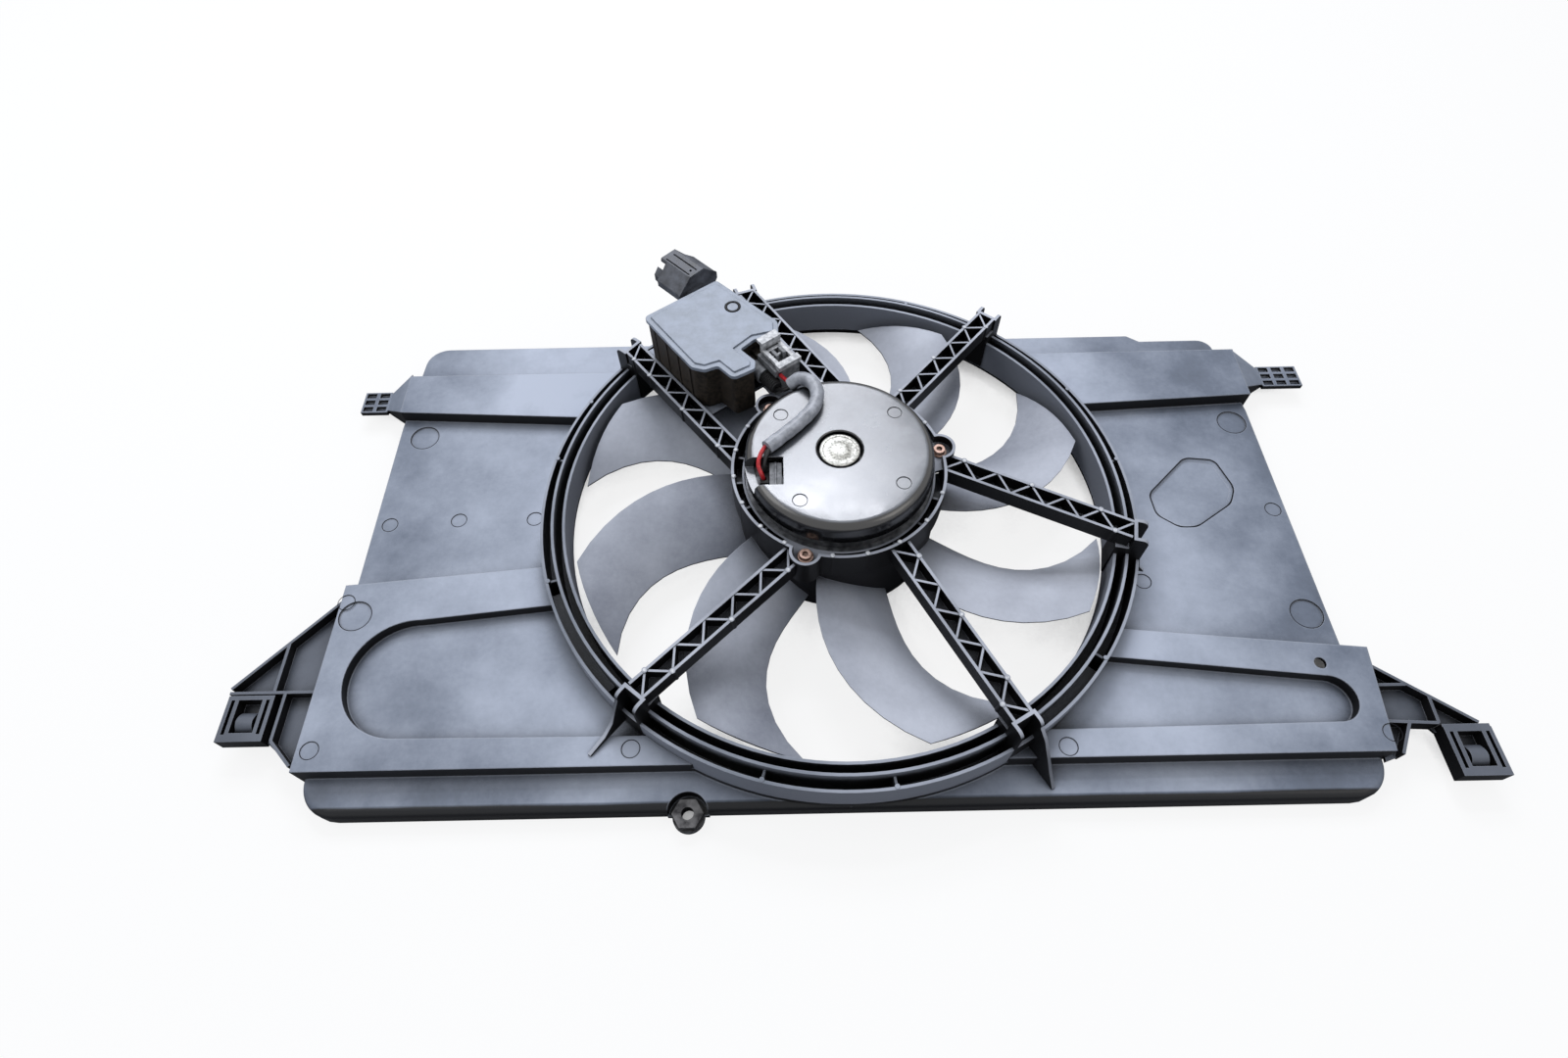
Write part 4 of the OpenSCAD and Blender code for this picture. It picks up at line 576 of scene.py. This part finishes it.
# %% Sheath and wires along their route
SHEATH_D, WIRE_D, PATH_STEPS = 10, 3, 10
SHEATH = ((-33, 61, 100), (-26, 62, 105.5), (-18, 56, 108), (-14, 46, 108), (-17, 33, 107.5),
          (-26, 21, 107.5), (-38, 9, 107.5), (-50, -2, 107.5))
RED_PLUG = ((-40, 74, 97), (-36.5, 68, 98.5), (-33, 62.2, 101.3))
BLACK_PLUG = ((-48.5, 75.2, 90), (-45.7, 71.3, 90), (-42.2, 66.5, 90.3), (-37.5, 61.5, 94.5),
              (-31.6, 60, 99.9))
RED_MOTOR = ((-50.5, 0, 107.5), (-54.5, -6.5, 105.5), (-56, -12.5, 101.5), (-53.6, -17.5, 96.5),
             (-52.1, -18.5, 91))
BLACK_MOTOR = ((-48, -2.8, 107.5), (-50.5, -7, 104.8), (-52, -10.5, 100.5), (-52.1, -12.5, 96),
               (-52.1, -12.5, 91))


def smooth_path(points):
    """Points on a smooth curve through the given ones."""
    p = [Vector(q) for q in points]
    path = []
    for i in range(len(p) - 1):
        a, b, c, d = p[max(i - 1, 0)], p[i], p[i + 1], p[min(i + 2, len(p) - 1)]
        for s in range(PATH_STEPS):
            t = s / PATH_STEPS
            path.append(0.5 * (2 * b + (c - a) * t + (2 * a - 5 * b + 4 * c - d) * t * t
                               + (3 * b - a - 3 * c + d) * t ** 3))
    return path + [p[-1]]


def cable(name, routes, diameter, material, node, breathe=0.0):
    """Round cables along smooth routes, as one mesh."""
    curve = bpy.data.curves.new(name + "_path", "CURVE")
    curve.dimensions, curve.bevel_depth, curve.bevel_resolution = "3D", diameter / 2 * MM, 6
    curve.use_fill_caps = True
    for route in routes:
        path = smooth_path(route)
        spline = curve.splines.new("POLY")
        spline.points.add(len(path) - 1)
        for i, (point, q) in enumerate(zip(spline.points, path)):
            point.co = (*(q * MM), 1)
            point.radius = 1 + breathe * math.sin(i * 0.9) * math.sin(i * 0.23)
    drawn = bpy.data.objects.new(name + "_path", curve)
    bpy.context.scene.collection.objects.link(drawn)
    mesh = bpy.data.meshes.new_from_object(drawn.evaluated_get(bpy.context.evaluated_depsgraph_get()))
    bpy.data.objects.remove(drawn)
    mesh.name = name
    mesh.shade_smooth()
    piece = bpy.data.objects.new(name, mesh)
    bpy.context.scene.collection.objects.link(piece)
    dress(piece, material)
    print(name, "faces:", len(mesh.polygons))
    settle(piece, "shroud", node)


cable("heat_shrunk_sheath", [SHEATH], SHEATH_D, FINISHES["sheath_plastic"], "lead_sheath", breathe=0.03)
cable("red_lead", [RED_PLUG, RED_MOTOR], WIRE_D, FINISHES["red_insulation"], "red_wire")
cable("black_lead", [BLACK_PLUG, BLACK_MOTOR], WIRE_D, FINISHES["black_insulation"], "black_wire")

# %% [markdown]
# ## The knurled seal sleeve
#
# The black wire enters the plug through a rubber sleeve whose outside is covered in small nubs, so
# that fingers can pull it. A tube is extruded ring by ring, and then every side face is inset by
# itself and pushed outwards, which raises one nub on each.

# %% Nubs on a rubber sleeve
MODULE = Matrix.Translation((-92, 118, 0)) @ Matrix.Rotation(math.radians(-54), 4, "Z")
ALONG_X = Matrix.Rotation(math.pi / 2, 4, "Y")
SLEEVE_START, SLEEVE_R, SLEEVE_SIDES = (50, 10, 90), 4.5, 22
COLLAR, NUB_ROW, NUB_ROWS, MOUTH = 5.4, 1.9, 7, 1.3
bm = bmesh.new()
ring = bmesh.ops.create_circle(bm, cap_ends=False, segments=SLEEVE_SIDES, radius=SLEEVE_R)["verts"]
edges = list({edge for vert in ring for edge in vert.link_edges})
sides = []
for length in (COLLAR,) + (NUB_ROW,) * NUB_ROWS + (MOUTH,):
    grown = bmesh.ops.extrude_edge_only(bm, edges=edges)["geom"]
    verts = [g for g in grown if isinstance(g, bmesh.types.BMVert)]
    bmesh.ops.translate(bm, verts=verts, vec=(0, 0, length))
    half_side = Matrix.Rotation(math.tau / (2 * SLEEVE_SIDES), 3, "Z")
    bmesh.ops.rotate(bm, verts=verts, cent=(0, 0, 0), matrix=half_side)
    edges = [g for g in grown if isinstance(g, bmesh.types.BMEdge)]
    if length == NUB_ROW:
        sides += [g for g in grown if isinstance(g, bmesh.types.BMFace)]
bmesh.ops.recalc_face_normals(bm, faces=bm.faces)
bmesh.ops.inset_individual(bm, faces=sides, thickness=0.28, depth=0.75)
bmesh.ops.holes_fill(bm, edges=[edge for edge in bm.edges if edge.is_boundary], sides=0)
SLEEVE = MODULE @ Matrix.Translation(SLEEVE_START) @ ALONG_X
make_piece("knurled_seal_sleeve", bm, FINISHES["black_rubber"], "black_rubber",
           replaced=("plug_sleeve",), place=SLEEVE, sharp=25)

# %% [markdown]
# ## The stage
#
# The fan lies on a pale floor under soft studio light. A small lamp behind and above is mirrored in
# the motor's cover, a larger one stands farther back, two more light the sides, and the world fills
# in evenly. Is Camera Ray makes the world and most of the floor's light plain white in the picture,
# while lamps still cast the fan's shadow on it. The floor throws less light back at the fan than its
# white would, so that the walls stay dark. At the bottom of a deep hole it gets no light at all, so
# ambient occlusion takes the white away there.

# %% Floor, world and lamps
FLOOR_SIZE, FLOOR_DROP = 6, 0.5 * MM
HOLE_DEPTH = 80 * MM  # how far the floor looks up for cover
OPEN_RANGE, FLOOR_WHITE = (0.06, 0.2), 0.85
bm = bmesh.new()
bmesh.ops.create_grid(bm, x_segments=4, y_segments=4, size=FLOOR_SIZE)
bmesh.ops.translate(bm, verts=bm.verts, vec=(0, 0, -FLOOR_DROP))
floor_mesh = bpy.data.meshes.new("studio_floor")
bm.to_mesh(floor_mesh)
bm.free()
studio_floor = bpy.data.objects.new("studio_floor", floor_mesh)
bpy.context.scene.collection.objects.link(studio_floor)

floor_paint = bpy.data.materials.new("paper_white_floor")
floor_paint.use_nodes = True
tree = floor_paint.node_tree
tree.nodes.clear()
seen = add(tree, "ShaderNodeLightPath")
tint = add(tree, "ShaderNodeMix", {"data_type": "RGBA"}, Factor=seen.outputs["Is Camera Ray"],
           i6=srgb("#85868a"), i7=srgb("#f2f3f4"))
matt = add(tree, "ShaderNodeBsdfDiffuse", Color=tint.outputs[2])
bright = add(tree, "ShaderNodeEmission", Color=(1, 1, 1, 1), Strength=1.0)
ao_shade = add(tree, "ShaderNodeAmbientOcclusion", {"samples": 8}, Distance=HOLE_DEPTH)
unshaded_part = add(tree, "ShaderNodeMapRange", Value=ao_shade.outputs["AO"], From_Min=OPEN_RANGE[0],
                From_Max=OPEN_RANGE[1], To_Max=FLOOR_WHITE)
share = add(tree, "ShaderNodeMath", {"operation": "MULTIPLY"}, i0=seen.outputs["Is Camera Ray"],
            i1=unshaded_part.outputs[0])
paper = add(tree, "ShaderNodeMixShader", Fac=share.outputs[0], i1=matt.outputs[0], i2=bright.outputs[0])
add(tree, "ShaderNodeOutputMaterial", Surface=paper.outputs[0])
studio_floor.data.materials.append(floor_paint)

world = bpy.data.worlds.new("soft_sky")
bpy.context.scene.world = world
world.use_nodes = True
tree = world.node_tree
tree.nodes.clear()
seen = add(tree, "ShaderNodeLightPath")
first = add(tree, "ShaderNodeMath", {"operation": "MAXIMUM"}, i0=seen.outputs["Is Camera Ray"],
            i1=seen.outputs["Is Glossy Ray"])
either = add(tree, "ShaderNodeMath", {"operation": "MAXIMUM"}, i0=first.outputs[0],
             i1=seen.outputs["Is Transmission Ray"])
sky = add(tree, "ShaderNodeBackground", Color=srgb("#e8eef8"), Strength=0.55)
white = add(tree, "ShaderNodeBackground", Color=(1, 1, 1, 1), Strength=1.0)
mixed = add(tree, "ShaderNodeMixShader", Fac=either.outputs[0], i1=sky.outputs[0], i2=white.outputs[0])
add(tree, "ShaderNodeOutputWorld", Surface=mixed.outputs[0])


def soft_lamp(name, at, target, width, height, power, colour):
    """A rectangular soft box that points at a place."""
    light = bpy.data.lights.new(name, "AREA")
    light.shape, light.size, light.size_y = "RECTANGLE", width, height
    light.energy, light.color = power, srgb(colour)[:3]
    lamp = bpy.data.objects.new(name, light)
    bpy.context.scene.collection.objects.link(lamp)
    lamp.location = at
    lamp.rotation_mode = "QUATERNION"
    lamp.rotation_quaternion = (Vector(target) - Vector(at)).to_track_quat("-Z", "Y")


soft_lamp("window_mirrored", (-0.02, 0.99, 1.6), (0.0, 0.0, 0.1), 0.6, 0.2, 7.5, "#f4f7ff")
soft_lamp("window_behind", (-0.3, 1.7, 1.7), (-0.03, 0.0, 0.1), 1.4, 0.5, 18, "#f4f7ff")
soft_lamp("ceiling_left", (-1.3, 0.2, 1.7), (0.0, 0.0, 0.0), 1.2, 1.2, 9, "#ffffff")
soft_lamp("fill_right", (1.4, -0.6, 1.5), (0.0, 0.0, 0.0), 1.0, 1.0, 5, "#fff9f2")
bpy.context.scene.view_settings.view_transform = "Standard"
